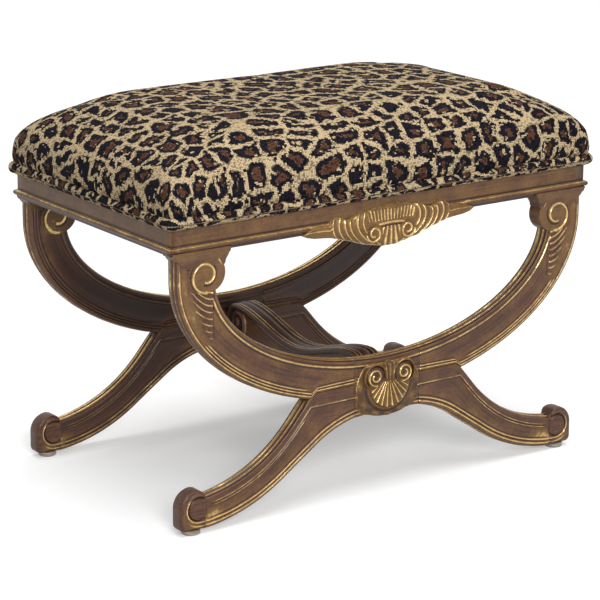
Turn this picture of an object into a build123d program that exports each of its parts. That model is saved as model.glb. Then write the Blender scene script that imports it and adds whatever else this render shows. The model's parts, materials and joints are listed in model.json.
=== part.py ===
from build123d import *
import os
from math import acos, asin, cos, degrees, radians, sin, sqrt

# A curule ottoman: two carved X-frames under a moulded rail and a crowned, padded seat.
# Millimetres. X runs along the front from left to right, Y from front to back, Z up from the floor.

os.makedirs("parts", exist_ok=True)

# Seat rails
rail_width = 613.0
rail_depth = 350.8
rail_bottom = 343.0
rail_height = 32.0
rail_thickness = 22.0
bead_radius = 4.5
bead_rise = 7.0
bead_reach = 7.6

# Boards of the X-frames and the ellipses of the U that their arms form
board_thickness = 20.0
board_proud = 5.6
arm_inset = 2.0
arm_width_top = 52.5
arm_width_low = 48.5
spring_drop = 32.0
u_low_height = 172.5

# Crossing of the X-frames
hub_width = 100.0
hub_low_height = 102.0
hub_arch = 1.5
seam_height = 147.0
seam_ease = 8.0
crotch_spread = 117.0

# Capital and scrolled ear at the top of each arm
capital_thickness = 26.0
capital_height = 10.0
capital_flare = 7.0
capital_span = 80.5
capital_neck = 4.0
capital_cove_share = (0.3, 0.4)
ear_radius = 19.5
ear_inset = 35.5
ear_drop = 29.0
ear_reach = 29.0
ear_root_share = 0.75
ear_brow_angle = 41.0

# Legs and scrolled feet
foot_spread = 604.0
foot_thickness = 24.0
foot_block_length = 42.0
foot_scroll_radius = 22.0
foot_scroll_height = 33.0
foot_toe_radius = 7.0
foot_lip_run = 15.1
foot_lip_rise = 11.2
heel_setback = 40.0
hub_fall_angle = 9.0
leg_bend_share = (0.25, 0.224)
leg_turn_share = (0.472, 0.555)
knee_share = (0.162, 0.31)

# Nail-on glides
glide_height = 6.0
glide_radius = 11.5
glide_round = 2.0
glide_setback = 20.0
glide_nail_radius = 1.6
glide_nail_length = 14.0

# Shell carving over each crossing
boss_thickness = 5.0
boss_radius = 44.0
boss_centre_height = 142.0
boss_brow_height = 150.0
boss_volute_radius = 16.0
boss_volute_spread = 26.0
boss_volute_height = 152.0
boss_crest_width = 24.0
boss_crest_height = 168.0
shell_radius = 33.0
shell_hinge_height = 146.0
shell_rib_count = 9
shell_rib_radius = 3.6
shell_rib_root = 1.2
shell_fan_angle = 150.0
shell_rib_thickness = 3.0
volute_eye_radius = 8.0
volute_eye_thickness = 3.0

# Carved cartouche under the middle of each long rail
apron_half_width = 88.0
apron_leaf_reach = 127.0
apron_thickness = 11.5
apron_tongue = 12.0
apron_drop = 30.0
apron_side_drop = 7.0
apron_waist = (45.0, 22.0)
apron_crown = 23.0
apron_crest_share = 0.92
apron_shoulder_width = 54.0
apron_shoulder_rise = 15.0
apron_side_rise = 8.0
apron_leaf_tip_drop = 1.0
apron_leaf_drop = 5.5

# Stretcher between the crossings
stretcher_width = 36.0
stretcher_dip_height = 143.0
stretcher_low_height = 112.0
volute_radius = 22.5
volute_height = 145.5
volute_setback = 32.0
volute_neck_angle = 35.0

# Dowels, their depth in each piece and the glue room round them
dowel_radius = 4.0
stout_dowel_radius = 5.0
dowel_depth = 20.0
glue_room = 0.1
cut_over = 1.0
leg_dowel_spacing = 18.0
rail_dowel_rise = 18.0
rail_dowel_setback = 8.0
rail_dowel_inset = 18.5
rail_dowel_spacing = 24.0
stretcher_dowel_spacing = 18.0
stretcher_dowel_height = 122.0
stretcher_dowel_in_hub = 12.0
stretcher_dowel_in_bar = 28.0

# Corner blocks and screws
block_leg = 55.0
block_height = 26.0
block_rise = 4.0
screw_radius = 2.0
screw_head_radius = 4.2
screw_head_height = 3.0
screw_room = 0.2
screw_bite = 14.0
block_screw_offset = 36.0
block_screw_wall = 12.0
seat_screw_inset = 22.0
seat_screw_recess = 3.0

# Seat frame with its straps and cloths
seat_overhang = 12.5
seat_frame_height = 18.0
seat_frame_width = 45.0
seat_frame_corner = 6.0
seat_dowel_spacing = 18.0
strap_width = 50.0
strap_thickness = 1.5
strap_lap = 30.0
strap_ramp = 16.0
long_strap_count = 3
long_strap_spacing = 75.0
cross_strap_count = 6
cross_strap_spacing = 85.0
burlap_thickness = 0.8
burlap_margin = 9.0
dust_cover_thickness = 0.8
dust_cover_room = 2.0

# Padded seat
welt_radius = 7.5
soft_room = 0.3
foam_room = 0.8
cover_thickness = 2.5
hem_inset = 7.0
belly_inset = 3.0
belly_rise = 12.0
belly_corner = 8.5
crown_height = 477.5
crown_fullness = 6.0
crown_bend = 2.2
crown_row_count = 12
crown_turn = 84.0
crown_corner_share = 0.8
crown_corner_bend = 2.3

# Places worked out from the sizes above
rail_half_x = rail_width / 2
rail_half_y = rail_depth / 2
rail_top = rail_bottom + rail_height
rail_inner_x = rail_half_x - rail_thickness
rail_inner_y = rail_half_y - rail_thickness
board_outer = rail_half_y + board_proud
board_inner = board_outer - board_thickness
board_middle = (board_outer + board_inner) / 2
hub_half = hub_width / 2
spring_height = rail_bottom - spring_drop
outer_run = rail_half_x - arm_inset
inner_run = outer_run - arm_width_top
inner_drop = spring_height - u_low_height
outer_drop = inner_drop + arm_width_low
crotch_height = spring_height - outer_drop * sqrt(1 - (crotch_spread / outer_run) ** 2)
u_height_at_hub = spring_height - inner_drop * sqrt(1 - (hub_half / inner_run) ** 2)
crotch = (crotch_spread, crotch_height)
seam_end = (crotch_spread - seam_ease, seam_height)
foot_x = foot_spread / 2
glide_x = foot_x - glide_setback
block_low = rail_bottom + block_rise
seat_half_x = rail_half_x + seat_overhang
seat_half_y = rail_half_y + seat_overhang
welt_height = rail_top + welt_radius
welt_half_x = seat_half_x - welt_radius
welt_half_y = seat_half_y - welt_radius
frame_half_x = welt_half_x - welt_radius - soft_room
frame_half_y = welt_half_y - welt_radius - soft_room
seat_frame_top = rail_top + seat_frame_height
opening_half_x = frame_half_x - seat_frame_width
opening_half_y = frame_half_y - seat_frame_width
strap_top = seat_frame_top + 2 * strap_thickness
burlap_top = strap_top + burlap_thickness
hem_height = rail_top + 2 * welt_radius + soft_room
belly_height = hem_height + belly_rise

# Dowels and screws of the right front quarter, and their holes, shared by the pieces that they join
dowel_hole_radius = dowel_radius + glue_room
stout_hole_radius = stout_dowel_radius + glue_room
dowel_hole_depth = dowel_depth + glue_room
thread_hole_radius = screw_radius + glue_room
thread_hole_depth = screw_bite + glue_room
pass_hole_radius = screw_radius + screw_room
rail_dowel_xs = (outer_run - rail_dowel_inset, outer_run - rail_dowel_inset - rail_dowel_spacing)
rail_dowel_y = -(rail_half_y - rail_dowel_setback)
arm_dowel_height = (u_height_at_hub + seam_height) / 2
leg_dowel_middle = (seam_height + hub_low_height) / 2
leg_dowel_heights = (leg_dowel_middle - leg_dowel_spacing / 2, leg_dowel_middle + leg_dowel_spacing / 2)
seam_dowel_x = (hub_half + seam_end[0]) / 2
block_screw_height = block_low + block_height / 2
seat_screw_x = rail_inner_x - seat_screw_inset
seat_screw_y = -(rail_inner_y - seat_screw_inset)
seat_dowel_xs = (
    opening_half_x + (seat_frame_width - seat_dowel_spacing) / 2,
    opening_half_x + (seat_frame_width + seat_dowel_spacing) / 2,
)


def save(piece, name):
    """Name a finished piece and write it."""
    piece.part.label = name
    export_step(piece.part, f"parts/{name}.step")


def save_quarters(piece, name):
    """Write a piece of the right front quarter and its three images."""
    save(piece, f"front_right_{name}")
    with BuildPart() as front_left:
        mirror(piece.part, about=Plane.YZ)
    save(front_left, f"front_left_{name}")
    with BuildPart() as back_right:
        mirror(piece.part, about=Plane.XZ)
    save(back_right, f"back_right_{name}")
    with BuildPart() as back_left:
        add(piece.part, rotation=(0, 0, 180))
    save(back_left, f"back_left_{name}")


def save_front_and_back(piece, name):
    """Write a piece of the front and the one turned round at the back."""
    save(piece, f"front_{name}")
    with BuildPart() as back:
        add(piece.part, rotation=(0, 0, 180))
    save(back, f"back_{name}")


def save_group(piece, name, front_only=False):
    """Write a group of like solids, from the right front quarter to every quarter it has."""
    with BuildPart() as group:
        add(piece.part)
        mirror(about=Plane.YZ)
        if not front_only:
            mirror(about=Plane.XZ)
    save(group, name)


def bore_upright(xs, y, height, radius, depth_down, depth_up):
    """Cut upright holes through a joint at a height."""
    middle = height + (depth_up - depth_down) / 2
    with Locations([(x, y, middle) for x in xs]):
        Cylinder(radius, depth_up + depth_down, mode=Mode.SUBTRACT)


def bore_along_x(x, y, heights, radius, depth):
    """Cut level holes along X, as deep on each side of a joint."""
    with Locations([Location((x, y, height), (0, 90, 0)) for height in heights]):
        Cylinder(radius, 2 * depth, mode=Mode.SUBTRACT)


def bore_along_y(xs, y, height, radius, length):
    """Cut level holes along Y with their middle at a place."""
    with Locations([Location((x, y, height), (90, 0, 0)) for x in xs]):
        Cylinder(radius, length, mode=Mode.SUBTRACT)


# Arms: a quarter of the U from the hub to the rail, with its capital and ear
def draw_arm():
    inner_turn = degrees(acos(hub_half / inner_run))
    outer_turn = degrees(acos(crotch_spread / outer_run))
    inner = EllipticalCenterArc((0, spring_height), inner_run, inner_drop, -inner_turn, arc_size=inner_turn)
    outer = EllipticalCenterArc((0, spring_height), outer_run, outer_drop, -outer_turn, arc_size=outer_turn)
    Polyline(inner @ 0, (hub_half, seam_height), seam_end, outer @ 0)
    Polyline(outer @ 1, (outer_run, rail_bottom), (inner_run, rail_bottom), inner @ 1)


def draw_capital():
    lip_x = rail_half_x + capital_flare
    low = rail_bottom - capital_height
    neck_x = outer_run - capital_neck
    tail_x = lip_x - capital_span
    cove_run, cove_drop = capital_cove_share
    ThreePointArc(
        (lip_x, rail_bottom),
        (neck_x + cove_run * (lip_x - neck_x), rail_bottom - cove_drop * capital_height),
        (neck_x, low),
    )
    Polyline((neck_x, low), (tail_x + capital_neck, low), (tail_x, rail_bottom), (lip_x, rail_bottom))


def draw_ear():
    ear_x = outer_run - ear_inset
    ear_z = rail_bottom - ear_drop
    brow = rail_bottom - capital_height
    top = (ear_x - ear_reach + capital_neck, brow)
    root = (ear_x - ear_radius, ear_z - ear_root_share * ear_radius)
    side = (ear_x + ear_radius, ear_z)
    ThreePointArc(top, (ear_x - ear_reach, ear_z), root)
    ThreePointArc(root, (ear_x, ear_z - ear_radius), side)
    brow_turn = radians(ear_brow_angle)
    cheek = (ear_x + ear_radius * cos(brow_turn), ear_z + ear_radius * sin(brow_turn))
    ThreePointArc(side, cheek, (ear_x, brow))
    Line((ear_x, brow), top)


with BuildPart() as arm:
    with BuildSketch(Plane.XZ.offset(board_inner)):
        with BuildLine():
            draw_arm()
        make_face()
    extrude(amount=board_thickness)
    with BuildSketch(Plane.XZ.offset(board_middle - capital_thickness / 2)):
        with BuildLine():
            draw_capital()
        make_face()
        with BuildLine():
            draw_ear()
        make_face()
    extrude(amount=capital_thickness)
    bore_upright(
        rail_dowel_xs, rail_dowel_y, rail_bottom, stout_hole_radius, dowel_hole_depth, cut_over
    )
    bore_along_x(hub_half, -board_middle, [arm_dowel_height], dowel_hole_radius, dowel_hole_depth)
    bore_upright(
        [seam_dowel_x],
        -board_middle,
        seam_height,
        dowel_hole_radius,
        dowel_hole_depth,
        dowel_hole_depth,
    )
save_quarters(arm, "arm")


# Legs: a quarter of the X from the hub down to a scrolled foot
def draw_leg():
    heel = (foot_x - heel_setback, glide_height)
    run = heel[0] - hub_half
    fall = hub_low_height - glide_height
    bend = (hub_half + leg_bend_share[0] * run, hub_low_height - leg_bend_share[1] * fall)
    turn = (hub_half + leg_turn_share[0] * run, hub_low_height - leg_turn_share[1] * fall)
    slope = radians(hub_fall_angle)
    scroll_x = foot_x - foot_scroll_radius
    under = TangentArc((hub_half, hub_low_height), bend, tangent=(cos(slope), -sin(slope)))
    shin = Line(under @ 1, turn)
    sweep_low = TangentArc(shin @ 1, heel, tangent=shin % 1)
    sole = Line(sweep_low @ 1, (foot_x - foot_toe_radius, glide_height))
    toe = TangentArc(sole @ 1, (foot_x, glide_height + foot_toe_radius), tangent=(1, 0))
    front = Line(toe @ 1, (foot_x, foot_scroll_height))
    crest = TangentArc(front @ 1, (scroll_x, foot_scroll_height + foot_scroll_radius), tangent=(0, 1))
    lip_end = (scroll_x - foot_lip_run, foot_scroll_height + foot_lip_rise)
    lip = TangentArc(crest @ 1, lip_end, tangent=(-1, 0))
    knee = (
        crotch_spread + knee_share[0] * (lip_end[0] - crotch_spread),
        crotch_height - knee_share[1] * (crotch_height - lip_end[1]),
    )
    calf = Line(crotch, knee)
    TangentArc(calf @ 1, lip @ 1, tangent=calf % 1)
    Polyline(crotch, seam_end, (hub_half, seam_height), (hub_half, hub_low_height))


with BuildPart() as leg:
    with BuildSketch(Plane.XZ.offset(board_middle - foot_thickness / 2)):
        with BuildLine():
            draw_leg()
        make_face()
    extrude(amount=foot_thickness)
    shave = (foot_thickness - board_thickness) / 2
    shaved_length = foot_x - foot_block_length
    with Locations(
        (shaved_length / 2, -board_outer - shave / 2, rail_bottom / 2),
        (shaved_length / 2, -board_inner + shave / 2, rail_bottom / 2),
    ):
        Box(shaved_length, shave, rail_bottom, mode=Mode.SUBTRACT)
    bore_along_x(hub_half, -board_middle, leg_dowel_heights, dowel_hole_radius, dowel_hole_depth)
    bore_upright(
        [seam_dowel_x],
        -board_middle,
        seam_height,
        dowel_hole_radius,
        dowel_hole_depth,
        dowel_hole_depth,
    )
    bore_upright(
        [glide_x],
        -board_middle,
        glide_height,
        glide_nail_radius + glue_room,
        cut_over,
        glide_nail_length + glue_room,
    )
save_quarters(leg, "leg")


# Glides: a flat button with a nail up into the foot
with BuildPart() as glide:
    with Locations((glide_x, -board_middle, 0)):
        Cylinder(glide_radius, glide_height, align=(Align.CENTER, Align.CENTER, Align.MIN))
    fillet(glide.edges().group_by(Axis.Z)[0], glide_round)
    with Locations((glide_x, -board_middle, glide_height)):
        Cylinder(glide_nail_radius, glide_nail_length, align=(Align.CENTER, Align.CENTER, Align.MIN))
save_quarters(glide, "glide")


# Hub: the block at the crossing that both arms, both legs and the stretcher are dowelled to
with BuildPart() as hub:
    with BuildSketch(Plane.XZ.offset(board_inner)):
        with BuildLine():
            half_turn = degrees(asin(hub_half / inner_run))
            saddle = EllipticalCenterArc(
                (0, spring_height), inner_run, inner_drop, -90 - half_turn, arc_size=2 * half_turn
            )
            Polyline(saddle @ 0, (-hub_half, hub_low_height))
            ThreePointArc(
                (-hub_half, hub_low_height), (0, hub_low_height + hub_arch), (hub_half, hub_low_height)
            )
            Polyline((hub_half, hub_low_height), saddle @ 1)
        make_face()
    extrude(amount=board_thickness)
    for side in (-1, 1):
        bore_along_x(
            side * hub_half,
            -board_middle,
            [arm_dowel_height, *leg_dowel_heights],
            dowel_hole_radius,
            dowel_hole_depth,
        )
    bore_along_y(
        [-stretcher_dowel_spacing / 2, stretcher_dowel_spacing / 2],
        -board_inner,
        stretcher_dowel_height,
        stout_hole_radius,
        2 * (stretcher_dowel_in_hub + glue_room),
    )
save_front_and_back(hub, "hub")


# Shell boss: a fan of ribs under two volutes, glued over the hub
def draw_rib():
    """Draw one rib that hangs from the shell's hinge and widens to a round end."""
    with Locations((0, -shell_radius)):
        Circle(shell_rib_radius)
    Polygon(
        (-shell_rib_root, 0),
        (-shell_rib_radius, -shell_radius),
        (shell_rib_radius, -shell_radius),
        (shell_rib_root, 0),
        align=None,
    )


with BuildPart() as shell_boss:
    with BuildSketch(Plane.XZ.offset(board_outer)):
        with Locations((0, boss_centre_height)):
            Circle(boss_radius)
        with Locations((0, boss_brow_height)):
            Rectangle(3 * boss_radius, 2 * boss_radius, align=(Align.CENTER, Align.MIN), mode=Mode.SUBTRACT)
        with Locations((-boss_volute_spread, boss_volute_height), (boss_volute_spread, boss_volute_height)):
            Circle(boss_volute_radius)
        with Locations((0, boss_crest_height)):
            crest_length = boss_crest_height - boss_brow_height + cut_over
            Rectangle(boss_crest_width, crest_length, align=(Align.CENTER, Align.MAX))
    extrude(amount=boss_thickness)
    boss_face = board_outer + boss_thickness
    with BuildSketch(Plane.XZ.offset(boss_face)):
        rib_step = shell_fan_angle / (shell_rib_count - 1)
        for index in range(shell_rib_count):
            with Locations(Location((0, shell_hinge_height), index * rib_step - shell_fan_angle / 2)):
                draw_rib()
    extrude(amount=shell_rib_thickness)
    with BuildSketch(Plane.XZ.offset(boss_face)):
        with Locations((-boss_volute_spread, boss_volute_height), (boss_volute_spread, boss_volute_height)):
            Circle(volute_eye_radius)
    extrude(amount=volute_eye_thickness)
save_front_and_back(shell_boss, "shell_boss")


# Apron carving: a cartouche on the rail's face, with a tongue glued under the rail
def draw_apron():
    low = (0, rail_bottom - apron_drop)
    corner = (apron_half_width, rail_bottom - apron_side_drop)
    shoulder = (apron_shoulder_width, rail_bottom + apron_shoulder_rise)
    tip = (apron_leaf_reach, rail_bottom - apron_leaf_tip_drop)
    ThreePointArc(low, (apron_waist[0], rail_bottom - apron_waist[1]), corner)
    leaf_middle = (apron_half_width + apron_leaf_reach) / 2
    ThreePointArc(corner, (leaf_middle, rail_bottom - apron_leaf_drop), tip)
    Line(tip, (apron_half_width, rail_bottom + apron_side_rise))
    side_middle = (apron_half_width + apron_shoulder_width) / 2
    ThreePointArc(
        (apron_half_width, rail_bottom + apron_side_rise),
        (side_middle, rail_bottom + apron_shoulder_rise),
        shoulder,
    )
    crest_middle = apron_shoulder_width / 2
    crest_rise = apron_crest_share * apron_crown
    ThreePointArc(shoulder, (crest_middle, rail_bottom + crest_rise), (0, rail_bottom + apron_crown))
    mirror(about=Plane.YZ)


with BuildPart() as apron_carving:
    with BuildSketch(Plane.XZ.offset(rail_half_y)):
        with BuildLine():
            draw_apron()
        make_face()
    extrude(amount=apron_thickness)
    with BuildSketch(Plane.XZ.offset(rail_half_y - apron_tongue)):
        with BuildLine():
            draw_apron()
        make_face()
        with Locations((0, rail_bottom)):
            Rectangle(
                2 * apron_leaf_reach, 2 * apron_crown, align=(Align.CENTER, Align.MIN), mode=Mode.SUBTRACT
            )
    extrude(amount=apron_tongue)
save_front_and_back(apron_carving, "apron_carving")


# Rails: a flat frieze over a bead, mitred at the corners
def draw_rail_section(face):
    """Draw the rail's section with its flat face at a distance from the middle."""
    bead_height = rail_bottom + bead_rise
    bead_middle = face + bead_reach - bead_radius
    back = face - rail_thickness
    bead_low = (bead_middle, bead_height - bead_radius)
    bead_top = (bead_middle, bead_height + bead_radius)
    Polyline(bead_low, (bead_middle, rail_bottom), (back, rail_bottom), (back, rail_top))
    Polyline((back, rail_top), (face, rail_top), (face, bead_height + bead_radius), bead_top)
    ThreePointArc(bead_low, (face + bead_reach, bead_height), bead_top)


def cut_mitre(normal):
    """Keep the side of the right front corner's mitre that a level normal points away from."""
    split(bisect_by=Plane((rail_half_x, -rail_half_y, 0), z_dir=normal), keep=Keep.BOTTOM)


with BuildPart() as long_rail:
    with BuildSketch(Plane(origin=(0, 0, 0), x_dir=(0, -1, 0), z_dir=(-1, 0, 0))):
        with BuildLine():
            draw_rail_section(rail_half_y)
        make_face()
    extrude(amount=-(rail_half_x + 2 * bead_reach))
    cut_mitre((1, 1, 0))
    mirror(about=Plane.YZ)
    add(apron_carving.part, mode=Mode.SUBTRACT)
    bore_upright(
        [side * x for x in rail_dowel_xs for side in (-1, 1)],
        rail_dowel_y,
        rail_bottom,
        stout_hole_radius,
        cut_over,
        rail_dowel_rise + glue_room,
    )
    block_screw_xs = [-(rail_inner_x - block_screw_offset), rail_inner_x - block_screw_offset]
    bore_along_y(
        block_screw_xs, -rail_inner_y, block_screw_height, thread_hole_radius, 2 * thread_hole_depth
    )
save_front_and_back(long_rail, "rail")

with BuildPart() as right_rail:
    with BuildSketch(Plane(origin=(0, 0, 0), x_dir=(1, 0, 0), z_dir=(0, -1, 0))):
        with BuildLine():
            draw_rail_section(rail_half_x)
        make_face()
    extrude(amount=rail_half_y + 2 * bead_reach)
    cut_mitre((-1, -1, 0))
    mirror(about=Plane.XZ)
    for side in (-1, 1):
        bore_along_x(
            rail_inner_x,
            side * (rail_inner_y - block_screw_offset),
            [block_screw_height],
            thread_hole_radius,
            thread_hole_depth,
        )
save(right_rail, "right_rail")
with BuildPart() as left_rail:
    mirror(right_rail.part, about=Plane.YZ)
save(left_rail, "left_rail")


# Corner blocks: screwed to both rails, and bored for the screw that holds the seat
screw_seat = rail_inner_x - block_screw_wall
screw_seat_y = rail_inner_y - block_screw_wall
recess_radius = screw_head_radius + screw_room

with BuildPart() as corner_block:
    with BuildSketch(Plane.XY.offset(block_low)):
        with BuildLine():
            Polyline(
                (rail_inner_x, -rail_inner_y),
                (rail_inner_x, -rail_inner_y + block_leg),
                (rail_inner_x - block_leg, -rail_inner_y),
                close=True,
            )
        make_face()
    extrude(amount=block_height)
    along_rail_y = -rail_inner_y + block_screw_offset
    along_rail_x = rail_inner_x - block_screw_offset
    bore_along_x(rail_inner_x, along_rail_y, [block_screw_height], pass_hole_radius, block_leg)
    with Locations(Location((screw_seat - block_leg / 2, along_rail_y, block_screw_height), (0, 90, 0))):
        Cylinder(recess_radius, block_leg, mode=Mode.SUBTRACT)
    bore_along_y([along_rail_x], -rail_inner_y, block_screw_height, pass_hole_radius, 2 * block_leg)
    bore_along_y([along_rail_x], -screw_seat_y + block_leg / 2, block_screw_height, recess_radius, block_leg)
    bore_upright(
        [seat_screw_x], seat_screw_y, block_low, pass_hole_radius, cut_over, block_height + cut_over
    )
    recess_depth = seat_screw_recess + screw_head_height
    bore_upright([seat_screw_x], seat_screw_y, block_low, recess_radius, cut_over, recess_depth)
save_quarters(corner_block, "corner_block")


# Screws: a round head and a plain shank
def draw_screw(length):
    """Add a screw that points up from its head's lower face."""
    Cylinder(screw_head_radius, screw_head_height, align=(Align.CENTER, Align.CENTER, Align.MIN))
    Cylinder(screw_radius, length, align=(Align.CENTER, Align.CENTER, Align.MIN))


block_screw_length = screw_head_height + block_screw_wall + screw_bite
with BuildPart() as block_screw:
    with Locations(
        Location((screw_seat - screw_head_height, along_rail_y, block_screw_height), (0, 90, 0)),
        Location((along_rail_x, -screw_seat_y + screw_head_height, block_screw_height), (90, 0, 0)),
    ):
        draw_screw(block_screw_length)
save_group(block_screw, "corner_block_screws")

seat_screw_low = block_low + seat_screw_recess
with BuildPart() as seat_screw:
    with Locations((seat_screw_x, seat_screw_y, seat_screw_low)):
        draw_screw(rail_top + screw_bite - seat_screw_low)
save_group(seat_screw, "seat_screws")


# Stretcher: a dipped bar with a volute near each end, between the two hubs
volute_y = board_inner - volute_setback
volute_top = volute_height + volute_radius
neck_turn = radians(volute_neck_angle)

with BuildPart() as stretcher:
    with BuildSketch(Plane.YZ):
        with BuildLine():
            half_way = (volute_y / 2, (stretcher_dip_height + volute_top) / 2)
            dip = TangentArc((0, stretcher_dip_height), half_way, tangent=(1, 0))
            rise = TangentArc(dip @ 1, (volute_y, volute_top), tangent=dip % 1)
            neck_y = volute_y + volute_radius * cos(neck_turn)
            neck = (neck_y, volute_height - volute_radius * sin(neck_turn))
            ThreePointArc(rise @ 1, (volute_y + volute_radius, volute_height), neck)
            Polyline(
                neck,
                (board_inner, neck[1]),
                (board_inner, stretcher_low_height),
                (0, stretcher_low_height),
            )
            mirror(about=Plane.YZ)
        make_face()
    extrude(amount=stretcher_width / 2, both=True)
    for side in (-1, 1):
        bore_along_y(
            [-stretcher_dowel_spacing / 2, stretcher_dowel_spacing / 2],
            side * board_inner,
            stretcher_dowel_height,
            stout_hole_radius,
            2 * (stretcher_dowel_in_bar + glue_room),
        )
save(stretcher, "stretcher")


# Dowels of the X-frames, the rails and the stretcher
with BuildPart() as arm_dowel:
    with Locations([(x, rail_dowel_y, rail_bottom - dowel_depth) for x in rail_dowel_xs]):
        Cylinder(
            stout_dowel_radius, dowel_depth + rail_dowel_rise, align=(Align.CENTER, Align.CENTER, Align.MIN)
        )
save_group(arm_dowel, "arm_dowels")

with BuildPart() as frame_dowel:
    with Locations(
        [Location((hub_half, -board_middle, z), (0, 90, 0)) for z in (arm_dowel_height, *leg_dowel_heights)]
    ):
        Cylinder(dowel_radius, 2 * dowel_depth)
    with Locations((seam_dowel_x, -board_middle, seam_height)):
        Cylinder(dowel_radius, 2 * dowel_depth)
save_group(frame_dowel, "front_frame_dowels", front_only=True)
with BuildPart() as back_frame_dowel:
    mirror(frame_dowel.part, about=Plane.XZ)
save_group(back_frame_dowel, "back_frame_dowels", front_only=True)

with BuildPart() as stretcher_dowel:
    dowel_middle = board_inner + (stretcher_dowel_in_hub - stretcher_dowel_in_bar) / 2
    dowel_place = (stretcher_dowel_spacing / 2, -dowel_middle, stretcher_dowel_height)
    with Locations(Location(dowel_place, (90, 0, 0))):
        Cylinder(stout_dowel_radius, stretcher_dowel_in_hub + stretcher_dowel_in_bar)
save_group(stretcher_dowel, "stretcher_dowels")


# Seat frame: two long members with two short ones dowelled between them
with BuildPart() as seat_frame_front:
    with BuildSketch(Plane.XY.offset(rail_top)):
        RectangleRounded(2 * frame_half_x, 2 * frame_half_y, seat_frame_corner)
        with Locations((0, -opening_half_y)):
            Rectangle(
                2 * frame_half_x, 2 * frame_half_y, align=(Align.CENTER, Align.MIN), mode=Mode.SUBTRACT
            )
    extrude(amount=seat_frame_height)
    seat_screw_xs = [-seat_screw_x, seat_screw_x]
    bore_upright(
        seat_screw_xs, seat_screw_y, rail_top, thread_hole_radius, cut_over, thread_hole_depth
    )
    bore_along_y(
        [side * x for x in seat_dowel_xs for side in (-1, 1)],
        -opening_half_y,
        rail_top + seat_frame_height / 2,
        dowel_hole_radius,
        2 * dowel_hole_depth,
    )
save(seat_frame_front, "seat_frame_front")
with BuildPart() as seat_frame_back:
    mirror(seat_frame_front.part, about=Plane.XZ)
save(seat_frame_back, "seat_frame_back")

with BuildPart() as seat_frame_right:
    with Locations((opening_half_x, 0, rail_top)):
        Box(
            seat_frame_width,
            2 * opening_half_y,
            seat_frame_height,
            align=(Align.MIN, Align.CENTER, Align.MIN),
        )
    for side in (-1, 1):
        bore_along_y(
            seat_dowel_xs,
            side * opening_half_y,
            rail_top + seat_frame_height / 2,
            dowel_hole_radius,
            2 * dowel_hole_depth,
        )
save(seat_frame_right, "seat_frame_right")
with BuildPart() as seat_frame_left:
    mirror(seat_frame_right.part, about=Plane.YZ)
save(seat_frame_left, "seat_frame_left")

with BuildPart() as seat_dowel:
    with Locations(
        [
            Location((x, -opening_half_y, rail_top + seat_frame_height / 2), (90, 0, 0))
            for x in seat_dowel_xs
        ]
    ):
        Cylinder(dowel_radius, 2 * dowel_depth)
save_group(seat_dowel, "seat_frame_dowels")


# Straps: long ones flat on the frame, short ones that step up over them
with BuildPart() as long_webbing:
    with Locations((0, 0, seat_frame_top)):
        with GridLocations(0, long_strap_spacing, 1, long_strap_count):
            Box(
                2 * (opening_half_x + strap_lap),
                strap_width,
                strap_thickness,
                align=(Align.CENTER, Align.CENTER, Align.MIN),
            )
save(long_webbing, "long_webbing")

strap_end = opening_half_y + strap_lap
strap_flat = long_strap_spacing * (long_strap_count - 1) / 2 + strap_width / 2
strap_foot = strap_flat + strap_ramp
strap_middle = seat_frame_top + strap_thickness

with BuildPart() as cross_webbing:
    first_x = -cross_strap_spacing * (cross_strap_count - 1) / 2
    for index in range(cross_strap_count):
        with BuildSketch(Plane.YZ.offset(first_x + index * cross_strap_spacing)):
            with BuildLine():
                Polyline(
                    (0, strap_middle),
                    (strap_flat, strap_middle),
                    (strap_foot, seat_frame_top),
                    (strap_end, seat_frame_top),
                    (strap_end, strap_middle),
                    (strap_foot, strap_middle),
                    (strap_flat, strap_top),
                    (0, strap_top),
                )
                mirror(about=Plane.YZ)
            make_face()
        extrude(amount=strap_width / 2, both=True)
save(cross_webbing, "cross_webbing")

with BuildPart() as burlap_sheet:
    with BuildSketch(Plane.XY.offset(strap_top)):
        RectangleRounded(
            2 * (frame_half_x - burlap_margin), 2 * (frame_half_y - burlap_margin), seat_frame_corner
        )
    extrude(amount=burlap_thickness)
save(burlap_sheet, "burlap_sheet")

with BuildPart() as dust_cover:
    with BuildSketch(Plane.XY.offset(rail_top - dust_cover_thickness)):
        Rectangle(2 * (rail_inner_x - dust_cover_room), 2 * (rail_inner_y - dust_cover_room))
        with GridLocations(2 * seat_screw_x, 2 * seat_screw_y, 2, 2):
            Circle(pass_hole_radius, mode=Mode.SUBTRACT)
    extrude(amount=dust_cover_thickness)
save(dust_cover, "dust_cover")


# Padded seat: a crowned form whose sides swell over the hem, as the cover and the foam under it
def cushion(skin, mode=Mode.ADD):
    """Loft the seat's form from its hem to its crown, drawn in all over by a skin's thickness."""
    belly_x = seat_half_x - belly_inset
    belly_y = seat_half_y - belly_inset
    narrowing = 1 - skin / belly_y
    lowering = 1 - skin / (crown_height - hem_height)
    levels = [(hem_height, seat_half_x - hem_inset, seat_half_y - hem_inset, belly_corner)]
    for index in range(crown_row_count):
        step = sin(radians(crown_turn * index / (crown_row_count - 1)))
        share = (1 - step**crown_bend) ** (1 / crown_fullness)
        crown_corner = crown_corner_share * belly_y * share
        corner = belly_corner + (crown_corner - belly_corner) * step**crown_corner_bend
        height = belly_height + (crown_height - belly_height) * step
        levels.append((height, belly_x * share, belly_y * share, corner))
    rows = []
    for height, half_x, half_y, corner in levels:
        with BuildSketch(Plane.XY.offset(hem_height + lowering * (height - hem_height))) as row:
            RectangleRounded(2 * narrowing * half_x, 2 * narrowing * half_y, narrowing * corner)
        rows.append(row.sketch)
    loft(rows, ruled=True, mode=mode)


with BuildPart() as seat_cover:
    cushion(0)
    cushion(cover_thickness, mode=Mode.SUBTRACT)
save(seat_cover, "seat_cover")

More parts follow.
